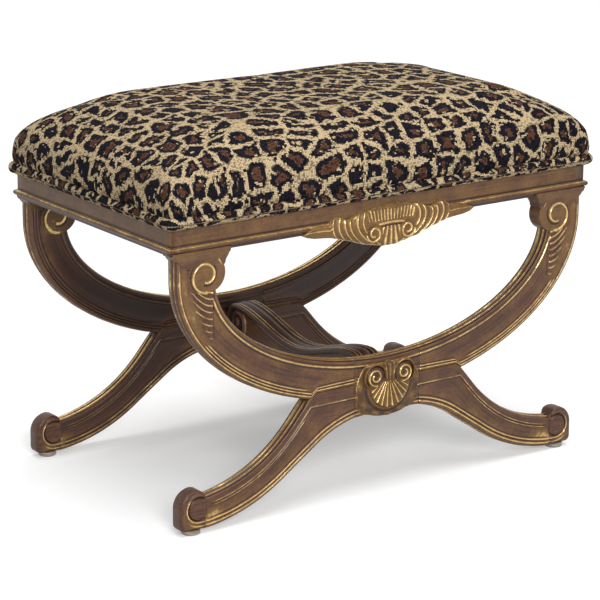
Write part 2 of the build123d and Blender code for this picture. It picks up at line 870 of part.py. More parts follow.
with BuildPart() as foam_pad:
    cushion(cover_thickness + foam_room)
    split(bisect_by=Plane.XY.offset(burlap_top + soft_room), keep=Keep.TOP)
save(foam_pad, "foam_pad")

with BuildPart() as seat_welt:
    with BuildLine(Plane.XY.offset(welt_height)) as welt_path:
        FilletPolyline(
            (welt_half_x, -welt_half_y),
            (welt_half_x, welt_half_y),
            (-welt_half_x, welt_half_y),
            (-welt_half_x, -welt_half_y),
            radius=belly_corner,
            close=True,
        )
    with BuildSketch(Plane(welt_path.line @ 0, z_dir=welt_path.line % 0)):
        Circle(welt_radius)
    sweep(path=welt_path.line)
save(seat_welt, "seat_welt")
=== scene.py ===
# %% [markdown]
# # A curule ottoman
# Two carved X-frames carry a moulded rail and a tight, crowned seat in leopard tapestry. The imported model
# is loaded first and stays where it is. Every piece made here is built over one of its nodes, in the same
# frame, so nothing has to be fitted afterwards.

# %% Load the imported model
import bpy
import bmesh
import json
import numpy as np
from math import acos, ceil, cos, pi, radians, sin
from mathutils import Matrix, Vector


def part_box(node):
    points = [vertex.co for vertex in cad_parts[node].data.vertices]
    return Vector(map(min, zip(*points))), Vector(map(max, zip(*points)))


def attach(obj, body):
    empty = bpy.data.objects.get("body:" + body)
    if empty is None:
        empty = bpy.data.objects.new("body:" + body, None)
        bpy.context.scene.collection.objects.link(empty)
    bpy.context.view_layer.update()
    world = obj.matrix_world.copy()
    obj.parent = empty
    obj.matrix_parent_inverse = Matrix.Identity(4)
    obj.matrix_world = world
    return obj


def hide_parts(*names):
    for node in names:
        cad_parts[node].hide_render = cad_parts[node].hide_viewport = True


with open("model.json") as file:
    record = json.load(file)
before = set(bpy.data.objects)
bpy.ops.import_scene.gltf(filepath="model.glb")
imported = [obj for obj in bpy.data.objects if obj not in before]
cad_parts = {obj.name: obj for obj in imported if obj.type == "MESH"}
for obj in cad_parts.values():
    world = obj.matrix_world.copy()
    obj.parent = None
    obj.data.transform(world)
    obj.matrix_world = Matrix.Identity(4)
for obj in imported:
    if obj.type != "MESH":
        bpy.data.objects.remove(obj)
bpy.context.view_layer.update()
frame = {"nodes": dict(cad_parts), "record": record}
MM = 0.001
print("loaded", len(frame["nodes"]), "nodes")

# %% [markdown]
# ## Sizes
# Meshes are worked out in millimetres, as a maker would write them, and turned to metres when they are
# made. What a node's box can tell is read from it. The curves of the X-frame are drawn again here, because
# a box says nothing of an ellipse.

# %% Sizes of the frame
def box_mm(node):
    """Give a node's lowest and highest corner in millimetres."""
    low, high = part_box(node)
    return np.array(low) / MM, np.array(high) / MM


hub_low, hub_high = box_mm("front_hub")
rail_low, rail_high = box_mm("front_rail")
leg_low, leg_high = box_mm("front_right_leg")
stretcher_low, stretcher_high = box_mm("stretcher")

BOARD_FRONT = hub_low[1]
BOARD_THICK = hub_high[1] - hub_low[1]
BOARD_MIDDLE = (hub_low[1] + hub_high[1]) / 2
HUB_HALF = hub_high[0]
HUB_BOTTOM = hub_low[2]
RAIL_BOTTOM = rail_low[2]
RAIL_TOP = rail_high[2]
BEAD_BEFORE_FACE = 7.6
RAIL_FACE = rail_low[1] + BEAD_BEFORE_FACE
SPRING = RAIL_BOTTOM - 32.0
INNER_RUN = 252.0
INNER_DROP = 138.5
OUTER_RUN = 304.5
OUTER_DROP = 187.0
SEAM = 144.5
CROTCH_X = 117.0
SEAM_EASE = 8.0
FOOT_X = leg_high[0]
SOLE = leg_low[2]
ENDS = (("front", 1), ("back", -1))
print("board", BOARD_THICK.round(1), "mm thick, rail", RAIL_BOTTOM.round(1), "to", RAIL_TOP.round(1))

# %% [markdown]
# ## Materials
# A colour is picked as an sRGB hex value, as it is seen, and Blender's shaders want it linear. One function
# turns it. Another adds a node with its settings and links, so that each material reads as a recipe. An
# input may be given a number, a socket or a whole node, which then gives its first output in use.

# %% Colour and node helpers
def linear(hex_colour):
    """Turn an sRGB hex colour to linear RGBA."""
    parts = [int(hex_colour[i:i + 2], 16) / 255 for i in (1, 3, 5)]
    return tuple(c / 12.92 if c <= 0.04045 else ((c + 0.055) / 1.055) ** 2.4 for c in parts) + (1.0,)


def feed(tree, node, inputs):
    """Set a node's inputs, or link them."""
    for name, value in inputs.items():
        if isinstance(value, bpy.types.Node):
            value = next(output for output in value.outputs if output.enabled)
        if isinstance(value, bpy.types.NodeSocket):
            tree.links.new(value, node.inputs[name])
        else:
            node.inputs[name].default_value = value


def add(tree, kind, settings=None, inputs=None):
    """Add a node with its settings and inputs."""
    made = tree.nodes.new(kind)
    for name, value in (settings or {}).items():
        setattr(made, name, value)
    feed(tree, made, inputs or {})
    return made


def start_material(name):
    """Make a material and give it with its tree and its main shader."""
    material = bpy.data.materials.new(name)
    material.use_nodes = True
    return material, material.node_tree, material.node_tree.nodes["Principled BSDF"]


COLOUR = {"data_type": "RGBA"}
STEP = {"interpolation_type": "SMOOTHSTEP"}
TIMES = {"operation": "MULTIPLY"}
TIMES_ADD = {"operation": "MULTIPLY_ADD"}
LARGER = {"operation": "MAXIMUM"}
print("mid grey is", round(linear("#808080")[0], 3), "in linear light")

# %% [markdown]
# ### Gilded walnut
# The frame is carved walnut, stained dark, glazed with umber and rubbed with antique gold on everything
# that stands proud. The eye reads three things: brown wood with streaks along each piece, dark glaze left
# in the hollows, and worn gold on beads, with a thin film of gold round them. The carving code knows which
# point is a bead and which is a hollow, so each mesh carries that as a number from -1 to 1 called gilt, and
# the material needs no guess at edges. The same number also carries painted light. It is lowered on faces
# turned into the stool and under the rail's bead, so that the umber paints shade there. It is raised on the
# bead's top and on a curl beside each ear, as a painted highlight in gold. Small and large noise, added to
# it, wear the gold through in places.

# %% Gilded walnut
GRAIN_LENGTH = 70.0
GRAIN_WIDTH = 2.4
WEAR_SIZE = 5.0
CLOUD_SIZE = 26.0
UMBER_GLAZE_AND_SHADE = "#140c08"
GOLD_FILM = "#876538"
GOLD_DULL = "#94713a"
GOLD_BRIGHT = "#f2d190"


def gilded_walnut(name, dark, light, gold_share):
    """Walnut under umber glaze, with gold rubbed on where the gilt attribute is high."""
    material, tree, shader = start_material(name)
    gilt = add(tree, "ShaderNodeAttribute", {"attribute_name": "gilt"}).outputs["Fac"]
    grain = add(tree, "ShaderNodeAttribute", {"attribute_name": "grain"}).outputs["Vector"]
    place = add(tree, "ShaderNodeTexCoord").outputs["Object"]
    stretch = add(tree, "ShaderNodeVectorMath", TIMES, {
        0: grain, 1: (1 / GRAIN_LENGTH, 1 / GRAIN_WIDTH, 1 / GRAIN_WIDTH)})
    streak = add(tree, "ShaderNodeTexNoise", None, {
        "Vector": stretch, "Scale": 1.0, "Detail": 4.0, "Roughness": 0.6})
    cloud = add(tree, "ShaderNodeTexNoise", None, {
        "Vector": place, "Scale": 1 / (CLOUD_SIZE * MM), "Detail": 3.0})
    wear = add(tree, "ShaderNodeTexNoise", None, {
        "Vector": place, "Scale": 1 / (WEAR_SIZE * MM), "Detail": 3.0, "Roughness": 0.65})
    tone = add(tree, "ShaderNodeMapRange", STEP, {"Value": streak, "From Min": 0.25, "From Max": 0.75})
    wood = add(tree, "ShaderNodeMix", COLOUR, {0: tone, 6: linear(dark), 7: linear(light)})
    # Gilt below zero mixes in umber: glaze in the hollows, and painted shade on the inner faces and under the
    # rail's bead.
    hollow = add(tree, "ShaderNodeMapRange", STEP, {
        "Value": gilt, "From Min": -0.05, "From Max": -0.7, "To Max": 0.9})
    glazed_and_shaded = add(tree, "ShaderNodeMix", COLOUR, {0: hollow, 6: wood, 7: linear(UMBER_GLAZE_AND_SHADE)})
    worn = add(tree, "ShaderNodeMath", TIMES_ADD, {0: wear, 1: 0.7, 2: gilt})
    rub = add(tree, "ShaderNodeMath", TIMES_ADD, {0: cloud, 1: 1.1, 2: worn})
    film = add(tree, "ShaderNodeMapRange", STEP, {
        "Value": rub, "From Min": 0.68 - gold_share, "From Max": 1.5 - gold_share, "To Max": 0.65})
    dusted = add(tree, "ShaderNodeMix", COLOUR, {0: film, 6: glazed_and_shaded, 7: linear(GOLD_FILM)})
    leaf = add(tree, "ShaderNodeMapRange", STEP, {
        "Value": rub, "From Min": 1.38 - gold_share, "From Max": 1.78 - gold_share})
    gold = add(tree, "ShaderNodeMix", COLOUR, {0: wear, 6: linear(GOLD_DULL), 7: linear(GOLD_BRIGHT)})
    colour = add(tree, "ShaderNodeMix", COLOUR, {0: leaf, 6: dusted, 7: gold})
    metal = add(tree, "ShaderNodeMapRange", None, {"Value": leaf, "To Max": 0.7})
    satin = add(tree, "ShaderNodeMapRange", None, {"Value": streak, "To Min": 0.36, "To Max": 0.52})
    rough = add(tree, "ShaderNodeMath", TIMES_ADD, {0: leaf, 1: -0.2, 2: satin})
    pores = add(tree, "ShaderNodeBump", None, {"Height": streak, "Strength": 0.18, "Distance": 0.4 * MM})
    feed(tree, shader, {
        "Base Color": colour, "Metallic": metal, "Roughness": rough, "Normal": pores,
        "Specular IOR Level": 0.3, "Coat Weight": 0.12, "Coat Roughness": 0.18})
    return material


walnut = gilded_walnut("gilded_walnut", "#361e16", "#64412f", 0.0)
gilt_carving = gilded_walnut("gilt_carved_walnut", "#412712", "#6b4a22", 0.3)
print("made", walnut.name, "and", gilt_carving.name)

# %% [markdown]
# ### Leopard tapestry
# The cover is a jacquard tapestry: short thick threads, three colours, and a pattern whose edges are
# stepped because a thread is either one colour or another. So the pattern is looked up once for each thread
# crossing, on coordinates that run over the crown and down the sides as the cloth does. Each rosette is a
# Voronoi cell. Going in from the cell's edge there is a tan channel, then a near-black ring, then in most
# cells a brown heart, all with the same ragged edge from a noise. A second noise breaks the rings open, and
# small spots fill some of the channels.

# %% Rosettes
# Real threads are nearer 1 mm apart. They are drawn coarser, so that they show from where the camera stands.
THREAD = 2.3
ROSETTE = 34.0
DRIFT = 17.0
CHANNEL = 3.5
RING = 8.4
RAGGED = 13.0
RAGGED_SIZE = 10.0
CRISP = 0.3
BLOT_REACH = (24.0, 21.0)
SPOT_PITCH = 15.0
SPOT_RADIUS = (4.2, 3.6)
GAP_SIZE = 11.0
FLAT = {"voronoi_dimensions": "2D"}


def rosettes(tree, threads):
    """Give how far each thread is near-black, and how far it is brown."""
    drift = add(tree, "ShaderNodeTexNoise", None, {
        "Vector": threads, "Scale": 1 / (0.6 * ROSETTE), "Detail": 1.0})
    warped = add(tree, "ShaderNodeVectorMath", TIMES_ADD, {
        0: drift.outputs["Color"], 1: (DRIFT, DRIFT, 0.0), 2: threads})
    cells = {"Vector": warped, "Scale": 1 / ROSETTE, "Randomness": 0.95}
    cell = add(tree, "ShaderNodeTexVoronoi", FLAT, cells)
    border = add(tree, "ShaderNodeTexVoronoi", FLAT | {"feature": "DISTANCE_TO_EDGE"}, cells)
    ragged = add(tree, "ShaderNodeTexNoise", None, {
        "Vector": threads, "Scale": 1 / RAGGED_SIZE, "Detail": 2.0})
    depth = add(tree, "ShaderNodeMath", TIMES, {0: border, 1: ROSETTE})
    inward = add(tree, "ShaderNodeMath", TIMES_ADD, {0: ragged, 1: RAGGED, 2: depth})
    edge = CHANNEL + RAGGED / 2
    blot = add(tree, "ShaderNodeMapRange", STEP, {
        "Value": inward, "From Min": edge - CRISP, "From Max": edge + CRISP})
    near = add(tree, "ShaderNodeMapRange", STEP, {
        "Value": cell, "From Min": BLOT_REACH[0] / ROSETTE, "From Max": BLOT_REACH[1] / ROSETTE})
    spots = add(tree, "ShaderNodeTexVoronoi", FLAT, {
        "Vector": warped, "Scale": 1 / SPOT_PITCH, "Randomness": 1.0})
    round_spot = add(tree, "ShaderNodeMapRange", STEP, {
        "Value": spots, "From Min": SPOT_RADIUS[0] / SPOT_PITCH, "From Max": SPOT_RADIUS[1] / SPOT_PITCH})
    spot_draw = add(tree, "ShaderNodeSeparateColor", None, {0: spots.outputs["Color"]})
    spot_kept = add(tree, "ShaderNodeMapRange", STEP, {
        "Value": spot_draw, "From Min": 0.26, "From Max": 0.25})
    spot = add(tree, "ShaderNodeMath", TIMES, {0: round_spot, 1: spot_kept})
    whole = add(tree, "ShaderNodeMath", TIMES, {0: blot, 1: near})
    marks = add(tree, "ShaderNodeMath", LARGER, {0: whole, 1: spot})
    middle = add(tree, "ShaderNodeMapRange", STEP, {
        "Value": inward, "From Min": edge + RING - CRISP, "From Max": edge + RING + CRISP})
    cell_draw = add(tree, "ShaderNodeSeparateColor", None, {0: cell.outputs["Color"]})
    hearted = add(tree, "ShaderNodeMapRange", STEP, {"Value": cell_draw, "From Min": 0.1, "From Max": 0.11})
    heart = add(tree, "ShaderNodeMath", TIMES, {0: middle, 1: hearted})
    broken = add(tree, "ShaderNodeTexNoise", None, {"Vector": threads, "Scale": 1 / GAP_SIZE, "Detail": 1.0})
    gaps = add(tree, "ShaderNodeMapRange", STEP, {"Value": broken, "From Min": 0.66, "From Max": 0.63})
    outside_heart = add(tree, "ShaderNodeMath", {"operation": "SUBTRACT"}, {0: 1.0, 1: heart})
    ring = add(tree, "ShaderNodeMath", TIMES, {0: marks, 1: outside_heart})
    return add(tree, "ShaderNodeMath", TIMES, {0: ring, 1: gaps}), heart


print("rosettes", ROSETTE, "mm apart")

# %% [markdown]
# The threads themselves show as rows of small round lumps, with painted shade between them and a painted
# highlight on their tops, and a stray darker thread here and there. The cloth is wool and cotton, so it has
# next to no shine.

# %% Leopard tapestry
def leopard_tapestry():
    """Tan cloth with near-black broken rosettes, drawn thread by thread."""
    material, tree, shader = start_material("leopard_tapestry")
    cloth = add(tree, "ShaderNodeAttribute", {"attribute_name": "cloth"}).outputs["Vector"]
    threads = add(tree, "ShaderNodeVectorMath", {"operation": "SNAP"}, {
        0: cloth, 1: (THREAD, THREAD, THREAD)})
    dark, heart = rosettes(tree, threads)
    ground = add(tree, "ShaderNodeMix", COLOUR, {0: heart, 6: linear("#bda784"), 7: linear("#573a2d")})
    pattern = add(tree, "ShaderNodeMix", COLOUR, {0: dark, 6: ground, 7: linear("#1d1b22")})
    turn = add(tree, "ShaderNodeVectorMath", {"operation": "SCALE"}, {0: cloth, "Scale": 2 * pi / THREAD})
    waves = add(tree, "ShaderNodeVectorMath", {"operation": "COSINE"}, {0: turn})
    split = add(tree, "ShaderNodeSeparateXYZ", None, {0: waves}).outputs
    weave = add(tree, "ShaderNodeMath", {"operation": "ADD"}, {0: split["X"], 1: split["Y"]})
    # The weave's waves are painted light: darker between the threads and lighter on their tops. The stray
    # threads are dyed darker.
    light = add(tree, "ShaderNodeMath", TIMES_ADD, {0: weave, 1: -0.22, 2: 0.86})
    dyed = add(tree, "ShaderNodeTexWhiteNoise", {"noise_dimensions": "3D"}, {"Vector": threads})
    stray = add(tree, "ShaderNodeMapRange", STEP, {
        "Value": dyed, "From Min": 0.2, "From Max": 0.32, "To Min": 0.48, "To Max": 1.2})
    thread_shade_and_dye = add(tree, "ShaderNodeMath", TIMES, {0: light, 1: stray})
    shaded = add(tree, "ShaderNodeVectorMath", {"operation": "SCALE"}, {0: pattern, "Scale": thread_shade_and_dye})
    lumps = add(tree, "ShaderNodeBump", {"invert": True}, {
        "Height": weave, "Strength": 0.5, "Distance": 0.25 * MM})
    feed(tree, shader, {
        "Base Color": shaded, "Normal": lumps, "Roughness": 0.95, "Specular IOR Level": 0.05})
    return material


tapestry = leopard_tapestry()
print("made", tapestry.name, "with threads of", THREAD, "mm")

# %% [markdown]
# ### Plain materials of the inner pieces
# Bare frame wood, beech dowels, jute, burlap, black dust cloth, foam, zinc and nickel are seen only from
# below or when the stool is taken apart. Each still has its own grain, weave or brushing, from one short
# recipe: two colours, a pattern stretched along one axis, and a roughness.

# %% Plain materials
def plain_material(name, dark, light, size, roughness, metallic=0.0):
    """Two tones in a noise stretched to a size in millimetres along X, Y and Z."""
    material, tree, shader = start_material(name)
    place = add(tree, "ShaderNodeTexCoord").outputs["Object"]
    scaled = add(tree, "ShaderNodeVectorMath", TIMES, {0: place, 1: tuple(1 / (s * MM) for s in size)})
    noise = add(tree, "ShaderNodeTexNoise", None, {"Vector": scaled, "Scale": 1.0, "Detail": 4.0})
    tone = add(tree, "ShaderNodeMapRange", STEP, {"Value": noise, "From Min": 0.3, "From Max": 0.7})
    colour = add(tree, "ShaderNodeMix", COLOUR, {0: tone, 6: linear(dark), 7: linear(light)})
    relief = add(tree, "ShaderNodeBump", None, {"Height": noise, "Strength": 0.3, "Distance": 0.3 * MM})
    feed(tree, shader, {
        "Base Color": colour, "Normal": relief, "Roughness": roughness, "Metallic": metallic})
    return material


inner_materials = {
    # Planed: pale streaks along the board, and dull.
    "frame_wood": plain_material("planed_poplar", "#9c7c55", "#c4a67c", (90, 5, 5), 0.62),
    # Turned: short pale flecks along the dowel.
    "beech_dowel": plain_material("turned_beech", "#b3905f", "#d3b382", (8, 8, 30), 0.55),
    # Open cells: an even cream grit with no shine.
    "foam": plain_material("upholstery_foam", "#d9cba0", "#eee3c2", (3, 3, 3), 0.95),
    # Woven straps and open-weave cloth: brown threads, hairy and dull.
    "jute_webbing": plain_material("jute_webbing", "#7a5d3a", "#b3915f", (2, 2, 2), 0.9),
    "burlap": plain_material("jute_burlap", "#8a7048", "#bda06f", (1.6, 1.6, 1.6), 0.92),
    # Pressed fibres: black, with barely a pattern.
    "dust_cloth": plain_material("black_cambric", "#0d0d0d", "#1d1c1c", (1.5, 1.5, 1.5), 0.88),
    # Plated: bright grey metal with soft clouds, and a duller warm grey on the worn glides.
    "zinc_screw": plain_material("zinc_plated_steel", "#8f8d88", "#b9b6ad", (6, 6, 6), 0.32, 1.0),
    "nickel_glide": plain_material("nickel_plated_steel", "#7d746a", "#a89f92", (12, 12, 2), 0.5, 0.35),
}
for entry in frame["record"]["subparts"]:
    if entry["material_slot"] in inner_materials:
        node_materials = frame["nodes"][entry["node"]].data.materials
        node_materials.clear()
        node_materials.append(inner_materials[entry["material_slot"]])
print("dressed the inner nodes in", len(inner_materials), "materials")

# %% [markdown]
# ## Carving helpers
# A carver cuts forms of different heights into a face, so all carving here comes from functions that give a
# height for each place on it. The carving is then real geometry, and the same function says where gold was
# rubbed on. A bead is a rounded bump across its line, and one form passes into the next by an ease.

# %% Heights
def bump(x, centre, half):
    """Give a rounded bead's height, 1 on its middle line and 0 at half its width."""
    return 0.5 + 0.5 * np.cos(pi * np.clip((x - centre) / half, -1, 1))


def ease(x, low, high):
    """Rise smoothly from 0 to 1 between two values."""
    t = np.clip((x - low) / (high - low), 0, 1)
    return t * t * (3 - 2 * t)


def fall(x, low, high):
    """Fall smoothly from 1 to 0 between two values."""
    return 1 - ease(x, low, high)


def laid_over(under, mask, height, gilt):
    """Lay a form's height and gilt over what is there, where a mask is 1."""
    return under[0] * (1 - mask) + mask * height, under[1] * (1 - mask) + mask * gilt


print("a bead half way down its side is", round(float(bump(0.5, 0, 1)), 2), "of its height")

# %% [markdown]
# A mesh is worked out as arrays: points, faces, and for each point its gilt and its place along the grain.
# Most pieces are a stack of rings with a cap at each end, so that every mesh is closed.

# %% Meshes from arrays
def grid_faces(rows, columns, closed):
    """Give the quads of a grid of points, closed round its columns or not."""
    last = columns if closed else columns - 1
    row, column = np.meshgrid(np.arange(rows - 1), np.arange(last), indexing="ij")
    after = (column + 1) % columns
    quads = np.stack([row * columns + column, row * columns + after,
                      (row + 1) * columns + after, (row + 1) * columns + column], axis=-1)
    return quads.reshape(-1, 4).tolist()


def tube_faces(rows, columns):
    """Give the faces of a stack of rings, with a cap on the first and on the last."""
    caps = [list(range(row * columns, (row + 1) * columns)) for row in (0, rows - 1)]
    return grid_faces(rows, columns, True) + caps


def part(points, faces, gilt, grain):
    """Hold a mesh's arrays: points in mm, faces, gilt and grain coordinates."""
    return {"points": np.asarray(points, float), "faces": faces,
            "gilt": np.asarray(gilt, float), "grain": np.asarray(grain, float)}


def joined(parts):
    """Put several parts into one."""
    offsets = np.cumsum([0] + [len(p["points"]) for p in parts[:-1]])
    faces = [[i + shift for i in face] for p, shift in zip(parts, offsets) for face in p["faces"]]
    return part(np.vstack([p["points"] for p in parts]), faces,
                np.concatenate([p["gilt"] for p in parts]), np.vstack([p["grain"] for p in parts]))


print("a cube as a tube of two rings has", len(tube_faces(2, 4)), "faces")

# %% [markdown]
# An object made from such arrays takes the place of a node of the imported model: it rides on the same body
# and the node is hidden. The stool is alike on both sides and at both ends, so a piece is worked
# out once and flipped. A flip turns a mesh inside out, so its normals are set again.

# %% Pieces in place of nodes
def new_object(name, points, faces, material):
    """Make a smooth object in one material from points in mm."""
    mesh = bpy.data.meshes.new(name)
    mesh.from_pydata((points * MM).tolist(), [], faces)
    mesh.polygons.foreach_set("use_smooth", [True] * len(mesh.polygons))
    mesh.materials.append(material)
    piece = bpy.data.objects.new(name, mesh)
    bpy.context.scene.collection.objects.link(piece)
    return piece


def stands_for(piece, node):
    """Put a piece in the place of a node."""
    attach(piece, "root")
    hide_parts(node)


def make_piece(name, shape, material, node, flip=(1, 1, 1)):
    """Make a carved object from a part, mirrored by flip, in place of a node."""
    piece = new_object(name, shape["points"] * np.array(flip), shape["faces"], material)
    work = bmesh.new()
    work.from_mesh(piece.data)
    bmesh.ops.recalc_face_normals(work, faces=work.faces)
    work.to_mesh(piece.data)
    work.free()
    attributes = piece.data.attributes
    attributes.new("gilt", "FLOAT", "POINT").data.foreach_set("value", shape["gilt"])
    attributes.new("grain", "FLOAT_VECTOR", "POINT").data.foreach_set("vector", shape["grain"].ravel())
    stands_for(piece, node)


def make_quarters(name, shape, node):
    """Make a piece of the right front quarter and its three images."""
    for end, y in ENDS:
        for side, x in (("right", 1), ("left", -1)):
            make_piece(f"{end}_{side}_{name}", shape, walnut, f"{end}_{side}_{node}", (x, y, 1))


print("each quarter is made", 2 * len(ENDS), "times")

# %% [markdown]
# Edges are drawn as a maker marks them out, from points and arcs. They are then spaced evenly, so that two
# edges get the same number of points and the carving is equally fine all along.

# %% Lines
def travelled(points):
    """Give the length along a polyline at each of its points."""
    return np.concatenate([[0], np.cumsum(np.linalg.norm(np.diff(points, axis=0), axis=1))])


def along(points, count):
    """Place a number of points evenly along a polyline."""
    points = np.asarray(points, float)
    run = travelled(points)
    spots = np.linspace(0, run[-1], count)
    return np.stack([np.interp(spots, run, points[:, i]) for i in range(2)], axis=1)


def arc(centre, radius, start, end, count=14):
    """Give points on an arc between two angles in degrees."""
    turn = np.radians(np.linspace(start, end, count))
    return np.stack([centre[0] + radius * np.cos(turn), centre[1] + radius * np.sin(turn)], axis=1)


print("a quarter circle of 100 mm is drawn", travelled(arc((0, 0), 100, 0, 90))[-1].round(1), "mm long")

# %% [markdown]
# The arms, the legs, the hub and the stretcher's web are boards with carved faces. A bevelled curve would
# scale the beads along with the width, and these stay equally thin. So a board is lofted: two edge curves,
# and from each pair of points one ring that runs over the front, the edge, the back and the other edge.

# %% Loft of a moulded board
EDGE_ROUND = 2.0
EDGE_BAND = 15.0
EDGE_STEPS = 19
FIELD_STEPS = 22
SIDE_STEPS = 22
CORNER_CUT = EDGE_ROUND * (1 - cos(pi / 4))
EDGE_GILT = 0.25


def moulded_board(first, second, front, thick, face_relief, side_relief, first_free=1.0, second_free=1.0):
    """Loft a board between two edge curves, with relief on both faces and along both edges."""
    across = second - first
    width = np.linalg.norm(across, axis=1)
    direction = across / width[:, None]
    wide = width[:, None]
    band = np.minimum(EDGE_BAND, 0.45 * wide)
    near = EDGE_ROUND + (band - EDGE_ROUND) * np.linspace(0, 1, EDGE_STEPS)
    field = band + (wide - 2 * band) * np.linspace(0, 1, FIELD_STEPS + 2)[1:-1]
    u_face = np.hstack([near, field, wide - near[:, ::-1]])
    x_face = first[:, :1] + direction[:, :1] * u_face
    z_face = first[:, 1:] + direction[:, 1:] * u_face
    front_height, front_gilt = face_relief(x_face, z_face, u_face, wide - u_face, True)
    back_height, back_gilt = face_relief(x_face, z_face, u_face, wide - u_face, False)
    depth = np.linspace(EDGE_ROUND, thick - EDGE_ROUND, SIDE_STEPS)
    side_height, side_gilt = side_relief(depth, thick)
    one = np.ones((len(first), 1))
    first_free = one * np.reshape(first_free, (-1, 1))
    second_free = one * np.reshape(second_free, (-1, 1))
    ring = [
        (u_face, -front_height, front_gilt),
        (wide - CORNER_CUT, CORNER_CUT * one, EDGE_GILT * one),
        (wide + second_free * side_height, one * depth, second_free * side_gilt),
        (wide - CORNER_CUT, (thick - CORNER_CUT) * one, EDGE_GILT * one),
        (u_face[:, ::-1], thick + back_height[:, ::-1], back_gilt[:, ::-1]),
        (CORNER_CUT * one, (thick - CORNER_CUT) * one, EDGE_GILT * one),
        (-first_free * side_height[::-1], one * depth[::-1], first_free * side_gilt[::-1]),
        (CORNER_CUT * one, CORNER_CUT * one, EDGE_GILT * one),
    ]
    u, d, gilt = (np.hstack(stretch) for stretch in zip(*ring))
    x = first[:, :1] + direction[:, :1] * u
    z = first[:, 1:] + direction[:, 1:] * u
    points = np.stack([x, front + d, z], axis=-1)
    grain = np.stack([travelled((first + second) / 2)[:, None] + 0 * u, u, d], axis=-1)
    return part(points.reshape(-1, 3), tube_faces(*u.shape), gilt.ravel(), grain.reshape(-1, 3))


print("a board's ring has", 2 * (2 * EDGE_STEPS + FIELD_STEPS + SIDE_STEPS) + 4, "points")

# %% [markdown]
# The edges that face the opening of the X are reeded, with one narrow and one wide reed between dark
# grooves. They could be cut by a bevel with a profile, but a height across the edge also gives their gilt.

# %% Reeds
def reeds(depth, thick):
    """A narrow and a wide reed with dark grooves, along a board's edge."""
    narrow = bump(depth, 0.3 * thick, 2.7)
    wide = bump(depth, 0.68 * thick, 3.9)
    grooves = bump(depth, 0.47 * thick, 1.5) + bump(depth, 0.13 * thick, 1.4) + bump(depth, 0.9 * thick, 1.4)
    height = 1.4 * narrow + 2.0 * wide - 0.9 * grooves
    return height, 1.05 * np.maximum(narrow, wide) - 1.0 * np.clip(grooves, 0, 1)


reed_height = reeds(np.linspace(0, BOARD_THICK, 100), BOARD_THICK)[0].max()
print("reeds stand", reed_height.round(1), "mm proud")

# %% [markdown]
# The ears, the shell and the apron have volutes: a bead that winds out from an eye, evenly from turn to
# turn. It could be a bevelled curve laid on the face. As a height it grows out of the wood with no joint,
# and it tapers at both ends, as a gouge leaves it.

# %% Spiral bead
def spiral(x, z, centre, inner, outer, start, turns, half, hand=1):
    """Give the height, 0 to 1, of a bead that winds clockwise, or back with hand -1, from its inner end."""
    aside = (x - centre[0]) * hand
    radius = np.hypot(aside, z - centre[1])
    sweep = (radians(start) - np.arctan2(z - centre[1], aside)) % (2 * pi)
    height = np.zeros_like(radius)
    for lap in range(ceil(turns) + 1):
        share = (sweep + 2 * pi * lap) / (2 * pi * turns)
        path = inner + (outer - inner) * share
        taper = ease(share, 0, 0.05 / turns) * fall(share, 1 - 0.06 / turns, 1)
        height = np.maximum(height, taper * bump(radius, path, half))
    return height


ray = np.linspace(0, 10, 101)
opposite = ray[spiral(-ray, 0 * ray, (0, 0), 2, 8, 0, 1.0, 1).argmax()]
print("half a turn on, a bead from 2 to 8 mm out has reached", opposite.round(1), "mm")

# %% [markdown]
# Ears, feet, the shell and the eyes of the stretcher are blocks whose relief winds round a point. A grid
# would cut such lines at a slant and fray them. So the block is made of rings round that point, each at its
# share of the way to the outline, over the front, round the rim and over the back.

# %% Carved drum
RIM_STEPS = 6
EYE_SHARE = 0.02


def reach_of(outline, centre, angles):
    """Measure how far a closed outline lies from its centre at each angle."""
    edge = np.vstack([outline, outline[:1]]) - np.asarray(centre)
    reach = np.zeros(len(angles))
    for index, angle in enumerate(angles):
        ray = np.array([cos(angle), sin(angle)])
        side = edge[:, 0] * ray[1] - edge[:, 1] * ray[0]
        ahead = edge @ ray
        cross = (side[:-1] * side[1:] <= 0) & (np.abs(side[:-1] - side[1:]) > 1e-9)
        share = side[:-1][cross] / (side[:-1] - side[1:])[cross]
        hits = ahead[:-1][cross] + share * (ahead[1:] - ahead[:-1])[cross]
        reach[index] = hits.max()
    return reach


def carved_drum(centre, outline, front, back, relief, rim=2.5, rings=44, spokes=168, two_faced=False,
                wall_gilt=EDGE_GILT):
    """Make a block of a star-shaped outline whose front, or both faces, carry a relief."""
    angles = np.linspace(0, 2 * pi, spokes, endpoint=False)
    reach = reach_of(np.asarray(outline, float), centre, angles)
    fronts, walls, backs = [], [], []
    for share in np.linspace(EYE_SHARE, 1, rings):
        radius = share * (reach - rim)
        height, gilt = relief(centre[0] + radius * np.cos(angles), centre[1] + radius * np.sin(angles))
        fronts.append((radius, front - height, gilt))
        backs.append((radius, back + two_faced * height, gilt))
    for edge, sign in ((fronts[-1][1], 1), (backs[-1][1], -1)):
        for turn in np.linspace(0, pi / 2, RIM_STEPS)[1:][::sign]:
            radius = reach - rim * (1 - sin(turn))
            walls.append((radius, edge + sign * rim * (1 - cos(turn)), wall_gilt + 0 * radius))
    radius, y, gilt = (np.array(column) for column in zip(*fronts, *walls, *backs[::-1]))
    x, z = centre[0] + radius * np.cos(angles), centre[1] + radius * np.sin(angles)
    points = np.stack([x, y, z], axis=-1).reshape(-1, 3)
    return part(points, tube_faces(*y.shape), gilt.ravel(), points[:, [0, 2, 1]])


square = np.array([(-1, -1), (1, -1), (1, 1), (-1, 1)])
print("a square reaches", reach_of(square, (0, 0), [0, pi / 4]).round(2), "at 0 and 45 degrees")
